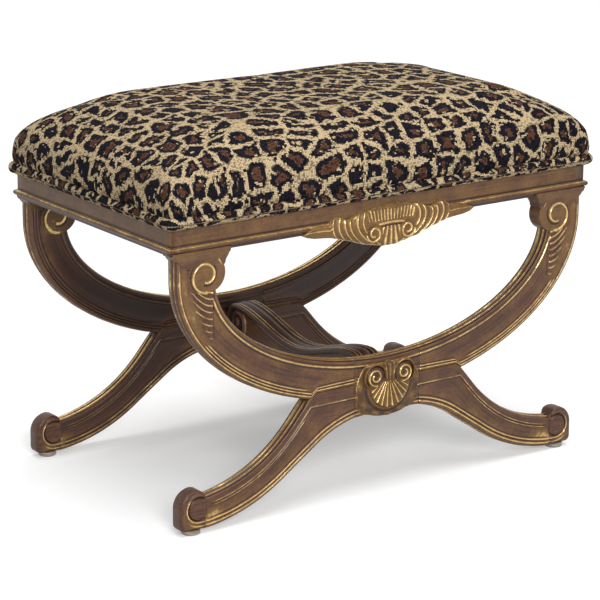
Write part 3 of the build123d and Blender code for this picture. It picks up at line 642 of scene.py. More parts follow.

# %% [markdown]
# ## Arms
# Each arm is a quarter of the upturned U, from the crossing to the rail. On the real stool a bead runs
# inside its inner edge, fine lines run inside its outer edge, a half acanthus leaf hangs under the ear, and
# the edge that faces the opening is reeded. One loft between two ellipses carries all of it. The face
# towards the other X-frame has the same mouldings without the leaf and with less gold, and is darkened
# further with the umber as painted shade.

# %% Half acanthus leaf
CAPITAL_HEIGHT = 10.0
EAR_CENTRE = (OUTER_RUN - 35.5, RAIL_BOTTOM - 29.0)
LEAF_TOP = EAR_CENTRE[1] - 17.0
LEAF_TIP = 233.0
LEAF_SPINE = 255.0
LEAF_REACH = 31.0
FROND_PITCH = 8.0
FROND_RISE = 18.0
FROND_RUN = 28.0


def frond(phase):
    """Give a feather frond's height and gilt: a slow rise to a bright edge, then a drop."""
    part_way = phase % 1.0
    height = part_way * fall(part_way, 0.86, 1.0)
    return height, 1.3 * bump(part_way, 0.8, 0.22) - 0.3


def half_leaf(x, z, from_outer, height, gilt):
    """Lay the half acanthus leaf and its sunk spine over an arm's relief."""
    across = x - LEAF_SPINE
    high_up = np.clip((z - LEAF_TIP) / (LEAF_TOP - LEAF_TIP), 0, 1)
    reach = LEAF_REACH * high_up ** 0.7
    inside = ease(across, 0, 1.5) * fall(across, reach - 2, reach + 1)
    inside = inside * ease(from_outer, 6.5, 8.5) * ease(z, LEAF_TIP, LEAF_TIP + 5)
    inside = inside * fall(z, LEAF_TOP - 1, LEAF_TOP + 2)
    rise, bright = frond((z - FROND_RISE * (across / FROND_RUN) ** 2) / FROND_PITCH)
    height = height + inside * (2.4 * rise + 0.4)
    gilt = gilt * (1 - inside) + inside * ((0.55 + 0.45 * high_up) * bright + 0.15)
    spine = bump(across, -1.0, 1.6) * ease(z, LEAF_TIP, LEAF_TIP + 6) * fall(z, LEAF_TOP, LEAF_TOP + 3)
    return height - 0.8 * spine, gilt - 0.4 * spine


print("leaf from", LEAF_TIP, "to", LEAF_TOP.round(1), "mm")

# %% [markdown]
# The bead, the lines and the sunk field between them run the whole length of the arm, so each is a height
# over the distance from an edge. Some of the lines stop at the leaf or start after the seam. Gold is rubbed
# thicker near the edges and towards the ear, where a cloth would catch.

# %% Relief of an arm
ARM_BEAD = 7.0
ARM_LINES = (3.8, 7.4, 11.0)


def arm_relief(x, z, from_inner, from_outer, outside):
    """Bead, lines, sunk field and, on the outside, the half acanthus leaf."""
    below = fall(z, LEAF_TIP - 6, LEAF_TIP + 2) if outside else 1.0
    bead = bump(from_inner, ARM_BEAD, 1.7)
    high = (1 - 0.4 * ease(z, LEAF_TOP - 60, LEAF_TOP - 20)) * fall(z, LEAF_TOP + 20, LEAF_TOP + 34)
    past = below * ease(x, CROTCH_X - 4, CROTCH_X + 18)
    lines = 0
    for shown, line in zip((high, below, past), ARM_LINES):
        lines = np.maximum(lines, shown * bump(from_outer, line, 1.2))
    grooves = bump(from_inner, 9.8, 1.4) + bump(from_inner, 4.4, 1.1) + bump(from_outer, 5.6, 1.0)
    grooves = grooves + below * bump(from_outer, 9.3, 1.0) + past * bump(from_outer, 13.4, 1.3)
    sunk = ease(from_inner, 9, 12) * ease(from_outer, 13, 16)
    height = 1.3 * bead + 1.2 * lines - 0.6 * grooves - 0.7 * sunk
    gilt = 0.95 * bead + 0.95 * lines - 0.8 * np.clip(grooves, 0, 1) * (1 - np.maximum(bead, lines))
    gilt = gilt + 0.28 * fall(from_outer, 12, 28) + 0.2 * fall(from_inner, 9, 22)
    gilt = gilt + 0.26 * ease(z, 200, 290) - 0.1
    # On the face turned into the stool the gold is capped, as less was rubbed on, and the gilt is pushed
    # below zero so that the umber paints shade there.
    if not outside:
        gilt = np.minimum(gilt, 0.55) - 0.45
    under_ear = ease(z, LEAF_TOP - 4, LEAF_TOP + 4) * ease(from_outer, 12, 16)
    height, gilt = laid_over((height, gilt), under_ear, -0.8, 0)
    return half_leaf(x, z, from_outer, height, gilt) if outside else (height, gilt)


print("arm has a bead", ARM_BEAD, "mm in and lines", ARM_LINES, "mm in")

# %% [markdown]
# The outer edge of the arm starts as a seam with the leg, level from the hub and then down to the crotch,
# and from there follows the larger ellipse. Both edges run straight up from where the ellipses end. A seam
# has no free edge, so the reeds on the outer side start after it.

# %% Arm
SEAM_ROWS = 34


def ellipse(run, drop, turn):
    """Give points on one of the U's ellipses."""
    return np.stack([run * np.cos(turn), SPRING - drop * np.sin(turn)], axis=-1)


hub_turn = acos(HUB_HALF / INNER_RUN)
crotch_turn = acos(CROTCH_X / OUTER_RUN)
crotch = tuple(ellipse(OUTER_RUN, OUTER_DROP, crotch_turn))
seam_line = along([(HUB_HALF, SEAM), (CROTCH_X - SEAM_EASE, SEAM), crotch], SEAM_ROWS)
turns = np.linspace(crotch_turn, 0, 190)[1:]
rises = np.linspace(SPRING, RAIL_BOTTOM, 18)[1:]
inner_edge = np.vstack([
    ellipse(INNER_RUN, INNER_DROP, np.linspace(hub_turn, crotch_turn, SEAM_ROWS)),
    ellipse(INNER_RUN, INNER_DROP, turns),
    np.stack([INNER_RUN + 0 * rises, rises], axis=1)])
outer_edge = np.vstack([
    seam_line,
    ellipse(OUTER_RUN, OUTER_DROP, turns),
    np.stack([OUTER_RUN + 0 * rises, rises], axis=1)])
past_seam = ease(np.arange(len(inner_edge)), SEAM_ROWS, SEAM_ROWS + 8)
arm_board = moulded_board(
    inner_edge, outer_edge, BOARD_FRONT, BOARD_THICK, arm_relief, reeds, 1.0, 0.6 * past_seam)
print("arm lofted from", len(inner_edge), "rings")

# %% [markdown]
# The capital flares in a cove under the rail. It could be a bevelled block, but its moulding is deeper
# towards the corner of the stool than towards the opening. So it is a stack of rectangles with their own
# sizes.

# %% Capital
CAPITAL_THICK = 26.0
CAPITAL_LIP = rail_high[0] - 3.0
CAPITAL_TAIL = CAPITAL_LIP - 80.0
CAPITAL_DROP = 15.0
CAPITAL_TUCK = 3.6
CAPITAL_POINTS = 80
COVE_IN = 12.0


def capital():
    """Loft the moulded cap from the arm's top out to the underside of the rail's bead."""
    slim = BOARD_THICK / 2 + 0.6
    rows = [(RAIL_BOTTOM - CAPITAL_DROP - 3, CAPITAL_TAIL + 9, CAPITAL_LIP - COVE_IN - 2, slim - 1)]
    for share in np.linspace(0, 1, 37):
        flare = 0.5 * share ** 1.6 + 0.35 * ease(share, 0.1, 0.6) + 0.15 * ease(share, 0.64, 0.7)
        z = RAIL_BOTTOM + CAPITAL_TUCK - (CAPITAL_DROP + CAPITAL_TUCK) * (1 - share)
        rows.append((z, CAPITAL_TAIL + 7 * (1 - flare), CAPITAL_LIP - COVE_IN * (1 - flare),
                     slim + (CAPITAL_THICK / 2 - slim) * flare))
    points, gilt = [], []
    for z, low, high, half in rows:
        corners = [(low, -half), (high, -half), (high, half), (low, half), (low, -half)]
        x, y = along(corners, CAPITAL_POINTS + 1)[:-1].T
        points.append(np.stack([x, BOARD_MIDDLE + y, z + 0 * x], axis=1))
        gilt.append(0.2 * ease(z, RAIL_BOTTOM - CAPITAL_DROP, RAIL_BOTTOM - 4) + 0.05 + 0 * x)
    points = np.concatenate(points)
    return part(points, tube_faces(len(rows), CAPITAL_POINTS), np.concatenate(gilt), points[:, [0, 2, 1]])


cap = capital()
print("capital", np.ptp(cap["points"], axis=0).round(1), "mm")

# %% [markdown]
# The ear is a scroll on the arm's face, with a cheek that swells towards the opening. Its spiral winds out
# from the eye and runs into the acanthus leaf. It is a drum that stands slightly proud of the board, and it
# is joined with the board and the capital, because the three are carved from one piece.

# %% Ear, and the whole arm
SNAIL = (EAR_CENTRE[0] - 3.5, EAR_CENTRE[1] + 1.5)
SNAIL_START = -65
SNAIL_TURNS = 1.12


def ear_relief(x, z):
    """A snail that winds out into the leaf, on a cheek with a short curl of its own, whose gold is a painted
    highlight.
    """
    bead = spiral(x, z, SNAIL, 7.5, 21.0, SNAIL_START, SNAIL_TURNS, 2.6)
    groove = spiral(x, z, SNAIL, 11.0, 24.0, SNAIL_START, SNAIL_TURNS, 2.0)
    # The curl is a low bead, and its gold stands for a painted highlight.
    curl_with_highlight = spiral(x, z, SNAIL, 23.5, 26.0, 165, 0.12, 1.6)
    dome = 1.4 * fall(np.hypot(x - SNAIL[0], z - SNAIL[1]), 4, 19)
    height = dome + 2.0 * bead + 1.2 * curl_with_highlight - 0.8 * groove * (1 - bead)
    gilt = 0.32 + 0.85 * bead + 0.5 * curl_with_highlight - 0.9 * groove * (1 - bead)
    return height, gilt


ear_x, ear_z = EAR_CENTRE
ear_top = RAIL_BOTTOM - CAPITAL_HEIGHT + 4
ear_outline = np.vstack([
    arc(SNAIL, 23.5, -105, 60, 40),
    [(ear_x, ear_top), (ear_x - 25, ear_top)],
    arc((ear_x - 9, ear_z + 3), 22.5, 145, 245, 30)])
ear = carved_drum(EAR_CENTRE, ear_outline, BOARD_FRONT - 0.5, BOARD_FRONT + BOARD_THICK + 1.5,
                  ear_relief, rim=2.0)
make_quarters("arm_carved", joined([arm_board, cap, ear]), "arm")
print("arms made, each of", len(arm_board["points"]), "board points")

# %% [markdown]
# ## Legs
# A leg leaves the crossing under the arm, bends down and sweeps out to a scrolled foot. A pair of fine
# lines follows its upper edge, and two gold beads follow its lower edge and run on round the foot. It is
# lofted like the arm, from the seam and a bowed line to an edge of two bowed lines with a bend between
# them.

# %% Leg
LEG_ROWS = 150
HEEL = (FOOT_X - 40.0, SOLE)
BEND = (103.0, 80.5)
TURN = (150.1, 48.7)
KNEE = (141.0, 110.0)
LIP = (FOOT_X - 37.1, 44.2)
SCROLL_EYE = (FOOT_X - 25.0, 32.0)
LEG_BEADS = (4.6, 9.4)
LEG_LINE = SEAM - 16.0
HIDDEN_END = (FOOT_X - 30.0, 43.0)


def bowed(start, end, bow, count):
    """Give points from one end to the other, bowed sideways by a distance at the middle."""
    start, end = np.array(start, float), np.array(end, float)
    share = np.linspace(0, 1, count)[:, None]
    aside = np.array([-(end - start)[1], (end - start)[0]])
    aside = aside / np.linalg.norm(aside)
    return start + (end - start) * share + aside * bow * 4 * share * (1 - share)


def two_beads(from_low):
    """The beads along the lower edge, on a leg and on the hub."""
    return np.maximum(bump(from_low, LEG_BEADS[0], 1.5), bump(from_low, LEG_BEADS[1], 1.5))


def leg_relief(x, z, from_top, from_low, outside):
    """A pair of fine lines below the upper edge and two beads above the lower edge."""
    inset = np.minimum(LEG_LINE - z, from_top - 8.5)
    line = np.maximum(bump(inset, 0, 1.4), ease(x, CROTCH_X, CROTCH_X + 12) * bump(inset, 3.4, 1.2))
    line = line * fall(x, LIP[0] - 14, LIP[0] - 5)
    beads = two_beads(from_low)
    grooves = bump(from_low, 7.0, 1.3) + bump(from_low, 11.8, 1.5) + bump(inset, 1.8, 1.0)
    grooves = grooves * fall(x, LIP[0] - 8, LIP[0])
    sunk = ease(inset, 3, 6) * ease(from_low, 12, 15)
    height = 1.0 * line + 1.4 * beads - 0.6 * grooves - 0.7 * sunk - 1.0 * ease(x, LIP[0] - 2, LIP[0] + 4)
    pool = bump(x, SCROLL_EYE[0] - 18, 34) * bump(from_low, 15, 14)
    gilt = 0.9 * line + 0.98 * beads - 0.8 * np.clip(grooves, 0, 1) * (1 - np.maximum(line, beads))
    gilt = gilt + 0.55 * pool + 0.25 * fall(from_low, 12, 26) - 0.05
    # On the face turned into the stool the gilt is lowered, so that the umber paints shade there.
    return height, gilt if outside else np.minimum(gilt, 1.0) - 0.28


upper = np.vstack([
    seam_line,
    along(np.vstack([[crotch], bowed(KNEE, LIP, -13.0, 60), [HIDDEN_END]]), LEG_ROWS)[1:]])
under = np.vstack([
    bowed((HUB_HALF, HUB_BOTTOM), BEND, 2.7, 30),
    bowed(TURN, HEEL, -7.9, 60),
    [(HIDDEN_END[0], SOLE)]])
leg_board = moulded_board(
    upper, along(under, len(upper)), BOARD_FRONT, BOARD_THICK, leg_relief, reeds, past_seam[:len(upper)], 1.0)
print("leg lofted from", len(upper), "rings")

# %% [markdown]
# The foot is a block, thicker than the leg, turned up at its toe. A smooth button sits on each face, and
# the leg's two beads run on under it and curl up its outer side. As a drum round the button it keeps both
# round. Its rim is left dark, because gold was rubbed on the faces only.

# %% Foot
FOOT_THICK = 20.8
FOOT_RIM = 4.0
FOOT_RINGS = 60
TOE_ROUND = 7.0
SOLE_TO_EYE = SCROLL_EYE[1] - SOLE


def foot_relief(x, z):
    """A smooth disc, with the leg's two beads running under it and curling up its outer side."""
    aside, above = x - SCROLL_EYE[0], z - SCROLL_EYE[1]
    radius = np.hypot(aside, above)
    turn = np.degrees(np.arctan2(above, aside))
    from_leg = (aside < 0) & (above < 0)
    round_way = np.where(from_leg, -above, radius)
    fade = np.where(from_leg | (np.abs(turn + 20) < 90), fall(turn, 30, 62), 0)
    inner = fade * bump(round_way, SOLE_TO_EYE - LEG_BEADS[1], 1.7)
    outer = fade * bump(round_way, SOLE_TO_EYE - LEG_BEADS[0], 1.5)
    outer = outer * np.where(aside < 0, 1, fall(turn, -85, -35))
    disc = fall(radius, 12.6, 14.0)
    groove = bump(radius, 14.6, 1.5)
    roll = bump(radius, 17.5, 3.2) * ease(turn, 40, 70)
    eye = spiral(x, z, SCROLL_EYE, 4.0, 12.5, 90, 1.0, 1.3)
    height = 1.3 * disc + 1.6 * inner + 1.1 * outer + 1.4 * roll - 0.9 * groove + 0.35 * eye
    height = height - 3.0 * fall(x, HEEL[0] + 1, HEEL[0] + 8) * fall(above, 8, 14)
    wash = bump(aside, -20, 16) * bump(above, -8, 14)
    toe = bump(aside, 8, 18) * bump(above, -20, 13)
    gilt = 1.0 * inner + 0.85 * outer + 0.1 * roll + 0.5 * wash + 0.4 * toe
    gilt = gilt - 0.8 * groove - 0.1 * disc + 0.25 * eye
    return height, gilt


foot_outline = np.vstack([
    [HEEL, (FOOT_X - TOE_ROUND, SOLE)],
    arc((FOOT_X - TOE_ROUND, SOLE + TOE_ROUND), TOE_ROUND, -90, 0),
    [(FOOT_X, 33)],
    arc((FOOT_X - 22, 33), 22, 0, 90, 30),
    arc((FOOT_X - 22, 39.5), 15.5, 90, 162, 16)])
foot = carved_drum(
    SCROLL_EYE, foot_outline, BOARD_MIDDLE - FOOT_THICK / 2, BOARD_MIDDLE + FOOT_THICK / 2, foot_relief,
    rim=FOOT_RIM, rings=FOOT_RINGS, two_faced=True, wall_gilt=-0.2)
make_quarters("leg_carved", joined([leg_board, foot]), "leg")
print("legs made, each of", len(leg_board["points"]) + len(foot["points"]), "points")

# %% [markdown]
# ## Crossing
# The hub carries the mouldings across from arm to arm and from leg to leg, so its relief is the same bead
# and lines, met at its sides. It is one more lofted board, between the inner ellipse and a lower edge that
# is slightly arched.

# %% Hub
HUB_ARCH = 1.5


def hub_relief(x, z, from_top, from_low, outside):
    """Carry the arms' and legs' lines across."""
    lines = bump(from_top, ARM_BEAD, 1.7)
    for line in ARM_LINES[:2]:
        lines = np.maximum(lines, bump(z, SEAM + line, 1.4))
    beads = np.maximum(two_beads(from_low), bump(z, LEG_LINE, 1.2))
    grooves = bump(from_top, 9.8, 1.4) + bump(from_low, 7.0, 1.1) + bump(from_low, 12.2, 1.5)
    grooves = grooves + bump(z, SEAM + 5.6, 1.0) + bump(z, SEAM + 9.4, 1.0)
    height = 1.2 * lines + 1.1 * beads - 0.5 * grooves - 0.5
    gilt = 0.9 * lines + 0.9 * beads - 0.7 * np.clip(grooves, 0, 1)
    # On the face turned into the stool the gold is capped and the gilt lowered, so that the umber paints
    # shade there.
    return height, gilt if outside else np.minimum(gilt, 0.45) - 0.42


hub_xs = np.linspace(-HUB_HALF, HUB_HALF, 60)
saddle = ellipse(INNER_RUN, INNER_DROP, np.arccos(hub_xs / INNER_RUN))
hub_under = np.stack([hub_xs, HUB_BOTTOM + HUB_ARCH * (1 - (hub_xs / HUB_HALF) ** 2)], axis=1)
hub_board = moulded_board(saddle, hub_under, BOARD_FRONT, BOARD_THICK, hub_relief, reeds)
print("hub lofted from", len(hub_xs), "rings")

# %% [markdown]
# The shell is carved apart and glued on the hub: a fan of ribs in a bowl, under two hooded volutes with a
# leaf between them, on a shield with a lobed border. It could be sculpted, but a sculpt can't be read or
# changed. So its relief is built up as a carver would set it out: the shield first, and each form laid over
# what is there.

# %% Fan of the shell
BOSS_CENTRE = (0.0, 134.0)
BOSS_HALF = (49.0, 37.0)
BOSS_LOBES = 11
APEX = (0.0, 151.0)
HINGE_Z = 143.0
BOWL = (0.0, 138.5)
BOWL_R = 29.5
FAN_ANGLE = 56.0
RIBS = 10


def shell_fan(x, z):
    """The shield with its lobed border, and on it the bowl of ribs with its rim and moat."""
    centre_way = np.hypot(x / BOSS_HALF[0], (z - BOSS_CENTRE[1]) / BOSS_HALF[1])
    lap = 0.5 + 0.5 * np.cos(BOSS_LOBES * np.arctan2(x, BOSS_CENTRE[1] - z))
    tips = bump(centre_way, 0.9, 0.14)
    height = 1.0 + 1.8 * np.sqrt(np.clip(1 - centre_way ** 2, 0, 1)) + 2.6 * lap ** 2 * tips
    gilt = np.full_like(height, -0.3) + 0.35 * lap ** 2 * tips - 0.15 * (1 - lap) * tips
    bowl_way = np.hypot(x - BOWL[0], z - BOWL[1])
    turn = np.degrees(np.arctan2(x, APEX[1] - z))
    rib = np.abs(np.cos(pi * turn * (RIBS - 1) / (2 * FAN_ANGLE) + pi / 2 * ((RIBS - 1) % 2))) ** 5
    fan = fall(bowl_way, BOWL_R - 1.5, BOWL_R) * fall(z, HINGE_Z - 1, HINGE_Z + 1)
    swell = 2.4 + 3.0 * np.clip(bowl_way / BOWL_R, 0, 1)
    height, gilt = laid_over((height, gilt), fan, 2.4 + swell * (0.4 + 0.6 * rib), 0.95 * rib - 0.2)
    below = fall(z, HINGE_Z - 10, HINGE_Z - 2)
    rim = bump(bowl_way, BOWL_R + 1.6, 2.4) * below
    moat = bump(bowl_way, BOWL_R + 5.0, 2.0) * below
    return height + 1.8 * rim - 0.7 * moat, gilt + 0.4 * rim - 0.3 * moat


print("fan of", RIBS, "ribs in a bowl", 2 * BOWL_R, "mm across")

# %% [markdown]
# The two volutes are discs with a spiral bead, each under a hood, and the leaf between them is fluted. They
# are laid over the fan, so they come after it. The height is capped at the thickness of the blank that a
# carver starts from. The outline is given for one side, mirrored and rounded through its points.

# %% Volutes, leaf and the whole shell
BOSS_TOP = 8.6
VOLUTE = (22.0, 151.0)
BOSS_OUTLINE = [(0, 169), (11, 165), (23, 168.5), (36, 164), (43.5, 153), (48.5, 140),
                (47, 127), (48, 115), (40, 105), (27, 102), (13, 98.5), (0, 98)]


def smooth_outline(points, count=160):
    """Close half an outline over to the other side and round it through its points."""
    half = np.asarray(points, float)
    ring = np.vstack([half, (half * [-1, 1])[-2:0:-1]])
    total = len(ring)
    spots = np.linspace(0, total, count, endpoint=False)
    index = spots.astype(int)
    t = (spots - index)[:, None]
    a, b, c, d = (ring[(index + shift) % total] for shift in (-1, 0, 1, 2))
    curve = 2 * b + (c - a) * t + (2 * a - 5 * b + 4 * c - d) * t ** 2 + (3 * b - a - 3 * c + d) * t ** 3
    return 0.5 * curve


def boss_relief(x, z):
    """The shell, with two hooded volutes and a leaf between them laid over it."""
    height, gilt = shell_fan(x, z)
    for side in (-1, 1):
        aside, above = x * side - VOLUTE[0], z - VOLUTE[1]
        away = np.hypot(aside, above)
        turn = np.degrees(np.arctan2(above, aside))
        disc = fall(away, 12.0, 13.4)
        hood = bump(away, 15.6, 3.4) * ease(turn, -75, -35) * fall(turn, 150, 175)
        bead = spiral(x * side, z, VOLUTE, 3.4, 11.4, 60, 1.5, 2.4)
        height = np.maximum(height, 7.4 * hood)
        gilt = gilt * (1 - hood) + hood * (0.45 * bump(away, 16.0, 1.6) - 0.42)
        height, gilt = laid_over((height, gilt), disc, 5.2 + 2.6 * bead, 1.2 * bead - 0.4)
    leaf = fall(np.abs(x), 6.5, 8.5) * ease(z, HINGE_Z - 1, HINGE_Z + 3) * fall(z, 164, 168)
    flute = np.abs(np.cos(pi * x / (4.0 + 0.16 * (z - HINGE_Z)))) ** 1.5
    height, gilt = laid_over((height, gilt), leaf, 5.2 + 2.4 * flute, 0.8 * flute - 0.5)
    return np.minimum(height, BOSS_TOP), gilt


boss = carved_drum(BOSS_CENTRE, smooth_outline(BOSS_OUTLINE), BOARD_FRONT + 0.5, BOARD_FRONT + 2.0,
                   boss_relief, rim=1.2, rings=100, spokes=340)
for end, y in ENDS:
    make_piece(f"{end}_hub_carved", hub_board, walnut, f"{end}_hub", (1, y, 1))
    make_piece(f"{end}_shell_carved", boss, gilt_carving, f"{end}_shell_boss", (1, y, 1))
print("crossings made, each shell of", len(boss["points"]), "points")

# %% [markdown]
# ## Apron carving
# The cartouche under the middle of the rail has a fluted fan over two volutes, curled lobes to each side,
# leaves that hang in the middle and a smooth leaf tip at each end. It is long and low, so it is a strip
# between a lower and an upper outline and not a drum, with the carving as a height over it.

# %% Outline and lobes of the apron
APRON_HALF = 127.0
LOBE_LINES = (32.0, 40.5, 51.5, 59.0, 68.0, 77.0)
LOBE_BOW = 11.0
LOBE_MIDDLE = 349.0
LOW_EDGE = ([0, 10, 20, 40, 60, 80, 88, 96, 112, 122, 127],
            [314, 314, 316, 320, 327, 332.5, 334.5, 335.5, 337, 339.5, 343.5])
TOP_EDGE = ([0, 8, 16, 26, 34, 40, 46, 52, 58, 64, 70, 76, 80, 84, 88, 91, 100, 112, 122, 127],
            [366.5, 366, 364.5, 364, 361.5, 362.5, 361.5, 358, 355.5, 355, 357, 360.5, 361, 359.5, 355, 351,
             352, 351, 348, 344.5])


def apron_edges(x):
    """Give the heights of the lower outline and of the scalloped upper one."""
    scallop = 0.8 * np.abs(np.sin(pi * x / 9)) * (np.abs(x) < 33)
    return np.interp(np.abs(x), *LOW_EDGE), np.interp(np.abs(x), *TOP_EDGE) + scallop


def apron_lobes(x, z, middle, half):
    """The strip's dome with its bright edge and leaf tips, and the lobes nested along it."""
    away = np.abs(x)
    tip = ease(away, 86, 90)
    dome = np.sqrt(np.clip(1 - ((z - middle) / half) ** 2, 0, 1))
    height = 5.5 + (3.6 - 1.4 * tip) * dome
    edge = fall(half - np.abs(z - middle), 0.6, 2.6)
    gilt = 0.12 - 0.42 * tip + (0.8 - 0.1 * tip) * edge
    bend = away - LOBE_BOW * (1 - ((z - LOBE_MIDDLE) / 20) ** 2)
    nested = ease(bend, 27, 30) * (1 - tip)
    for line in LOBE_LINES:
        ridge = bump(bend, line, 1.3) * nested
        hollow = bump(bend, line - 4.2, 3.0) * nested
        height = height + 2.4 * ridge - 1.5 * hollow
        gilt = gilt + 0.9 * ridge - 0.3 * hollow
    return height, gilt, tip


print("apron", 2 * APRON_HALF, "mm long, with", 2 * len(LOBE_LINES), "lobe lines")

# %% [markdown]
# Over the lobes lie a fluted fan, an arch with leaves hanging under it, and a volute to each side of them.
# Each is a mask with its own height and gilt, laid over what is there, from the back to the front. The
# whole height is then scaled to how far the carving stands out from the rail.

# %% Relief of the apron
APRON_LIFT = 4.0
APRON_SHARE = 0.68
APRON_TOP = 11.4
SPOKE = (25.5, 332.0)
FAN_FOOT = 346.0


def apron_relief(x, z):
    """Lay the fan, the hanging leaves under their arch and the volutes over the lobes."""
    away = np.abs(x)
    low, top = apron_edges(x)
    middle = (low + top) / 2
    height, gilt, tip = apron_lobes(x, z, middle, np.maximum((top - low) / 2, 1.0))
    fan = fall(away, 33, 36) * ease(z, FAN_FOOT, FAN_FOOT + 2) * fall(z, 359.5, 361)
    flute = np.abs(np.cos(pi * x / (4.6 + 0.04 * (z - FAN_FOOT)))) ** 3
    height, gilt = laid_over((height, gilt), fan, 5.2 + 2.6 * flute, 1.0 * flute - 0.3)
    arch_z = 344.0 - 0.0045 * x ** 2
    arch = bump(z, arch_z, 2.4) * fall(away, 30, 36)
    shade = bump(z, arch_z - 3.6, 2.0) * fall(away, 14, 20)
    leaf = fall(away, 12.5, 15.0) * fall(z, 338, 341)
    vein = np.abs(np.cos(pi * x / (9.6 - 0.16 * (z - 313)))) ** 2.5
    height, gilt = laid_over((height, gilt), leaf, 6.4 + 3.0 * vein, 0.95 * vein - 0.12)
    height = height + 2.4 * arch - 1.2 * shade
    gilt = np.maximum(gilt, 0.95 * arch) - 0.7 * shade
    for side in (-1, 1):
        radius = np.hypot(x - side * SPOKE[0], z - SPOKE[1])
        disc = fall(radius, 11.5, 13.0)
        bead = spiral(x * side, z, SPOKE, 3.4, 11.2, -60, 1.35, 2.3, -1)
        groove = bump(radius, 8.2, 1.8) * (1 - bead)
        height, gilt = laid_over((height, gilt), disc, 7.2 + 3.2 * bead - groove, 1.1 * bead - 0.3 * groove)
    fold = tip * bump(z, middle + 2.0, 1.5)
    return APRON_LIFT + APRON_SHARE * np.minimum(height + 0.9 * fold, APRON_TOP), gilt + 0.5 * fold


middle_low, middle_top = apron_edges(0.0)
print("in the middle the apron is", (middle_top - middle_low).round(1), "mm high")

# %% [markdown]
# The strip has a column of points at each of many places along the rail. Each column runs up the carved
# front and down a plain back that lies inside the rail, and the last points at each edge are drawn back, so
# that the edge is rounded.

# %% Apron
APRON_XS = np.linspace(-APRON_HALF, APRON_HALF, 420)
APRON_ROWS = 84
APRON_BACK = 11.0


def apron():
    """Loft the strip's front from its relief and close it with a plain back."""
    share = np.linspace(0, 1, APRON_ROWS)[:, None]
    low, top = apron_edges(APRON_XS)
    z = low + (top - low) * share
    x = APRON_XS + 0 * z
    height, gilt = apron_relief(x, z)
    height = height * (1 - 0.5 * (2 * np.abs(share - 0.5)) ** 12)
    front = np.stack([x, RAIL_FACE - height, z], axis=-1)
    back = np.stack([x, RAIL_FACE + APRON_BACK + 0 * z, z], axis=-1)
    points = np.concatenate([front, back[::-1]]).transpose(1, 0, 2).reshape(-1, 3)
    gilt = np.concatenate([gilt, 0 * gilt]).T.ravel()
    return part(points, tube_faces(len(APRON_XS), 2 * APRON_ROWS), gilt, points[:, [0, 2, 1]])


apron_shape = apron()
for end, y in ENDS:
    make_piece(f"{end}_apron_carved", apron_shape, gilt_carving, f"{end}_apron_carving",
               (1, y, 1))
print("aprons made of", len(apron_shape["points"]), "points each")

# %% [markdown]
# ## Rails
# A rail is a flat frieze over one bead, with a small cove between them and a rounded top edge. A shaper
# cuts that as one section, so the section is drawn once, with the gilt of each of its points.

# %% Section of a rail
BEAD_RADIUS = 3.6
BEAD_HEIGHT = RAIL_BOTTOM + 7.3
BEAD_REACH = 4.4
BEAD_POINTS = 17
COVE_RADIUS = 0.9
TOP_ROUND = 1.5
FACE_PROUD = 4.0
FACE_GILT = 0.22
RAIL_THICK = 22.0 + FACE_PROUD


def rail_section():
    """Give the section's points and gilt, from the back's lower edge round to its upper edge."""
    middle = BEAD_REACH - BEAD_RADIUS
    low = [(-RAIL_THICK, RAIL_BOTTOM), (middle - 1.2, RAIL_BOTTOM), (middle, RAIL_BOTTOM + 1.0)]
    bead = arc((middle, BEAD_HEIGHT), BEAD_RADIUS, -90, 90, BEAD_POINTS)
    cove = arc((COVE_RADIUS, BEAD_HEIGHT + BEAD_RADIUS + COVE_RADIUS), COVE_RADIUS, 270, 180, 6)
    face = [(0.0, RAIL_TOP - share) for share in (18, 15, 12, 9, 6, 3)]
    edge = arc((-TOP_ROUND, RAIL_TOP - TOP_ROUND), TOP_ROUND, 0, 90, 6)
    # The bead is gilded, and its gold is laid brightest on its upper side as a painted highlight. Its
    # underside, and the point where it meets the rail's underside, are darkened as painted shade.
    bead_gilt_and_light = np.interp(
        np.linspace(-90, 90, BEAD_POINTS), [-90, 0, 25, 55, 90], [-0.3, 0.0, 0.4, 1.0, 0.5])
    gilt = [[0, 0, -0.4], bead_gilt_and_light, np.linspace(0.2, -0.7, 6), [FACE_GILT] * 6,
            np.linspace(FACE_GILT, 0.25, 6), [0]]
    return np.vstack([low, bead, cove, face, edge, [(-RAIL_THICK, RAIL_TOP)]]), np.concatenate(gilt)


print("rail section of", len(rail_section()[1]), "points")

# %% [markdown]
# Each rail is the section run along its side. Its ends are cut on the mitre by letting every point of the
# section run on by its own outset, so that two rails meet at a corner without a gap. The bead is cut away
# behind the apron carving, which needs a flat to be glued on.

# %% Rails
BEAD_STOP = APRON_HALF - 14.0
STOP_RUN = 8.0
RAIL_HALF = (rail_high[0] - BEAD_BEFORE_FACE + FACE_PROUD, FACE_PROUD - RAIL_FACE)


def rail(half_run, half_out, stop=0.0):
    """Run the section along X, with mitred ends and the bead cut away as far as a stop for the carving."""
    section, gilt = rail_section()
    proud = section[:, 0] > 0
    flat = section.copy()
    flat[proud, 0] = 0.0
    flat[proud, 1] = np.linspace(section[proud, 1].min(), section[proud, 1].max(), proud.sum())
    rows = []
    stops = np.array([-stop - STOP_RUN, -stop, stop, stop + STOP_RUN]) / half_run if stop else []
    for share in np.sort(np.concatenate([np.linspace(-1, 1, 41), stops])):
        shape = flat if stop and abs(share) * half_run < stop + 1 else section
        run = share * (half_run + shape[:, 0])
        rows.append(np.stack([run, -(half_out + shape[:, 0]), shape[:, 1]], axis=1))
    points = np.concatenate(rows)
    return part(points, tube_faces(len(rows), len(section)), np.tile(gilt, len(rows)), points[:, [0, 2, 1]])


def turned(shape):
    """Swap X and Y, to lay a shape along the other axis."""
    return part(shape["points"][:, [1, 0, 2]], shape["faces"], shape["gilt"], shape["grain"])


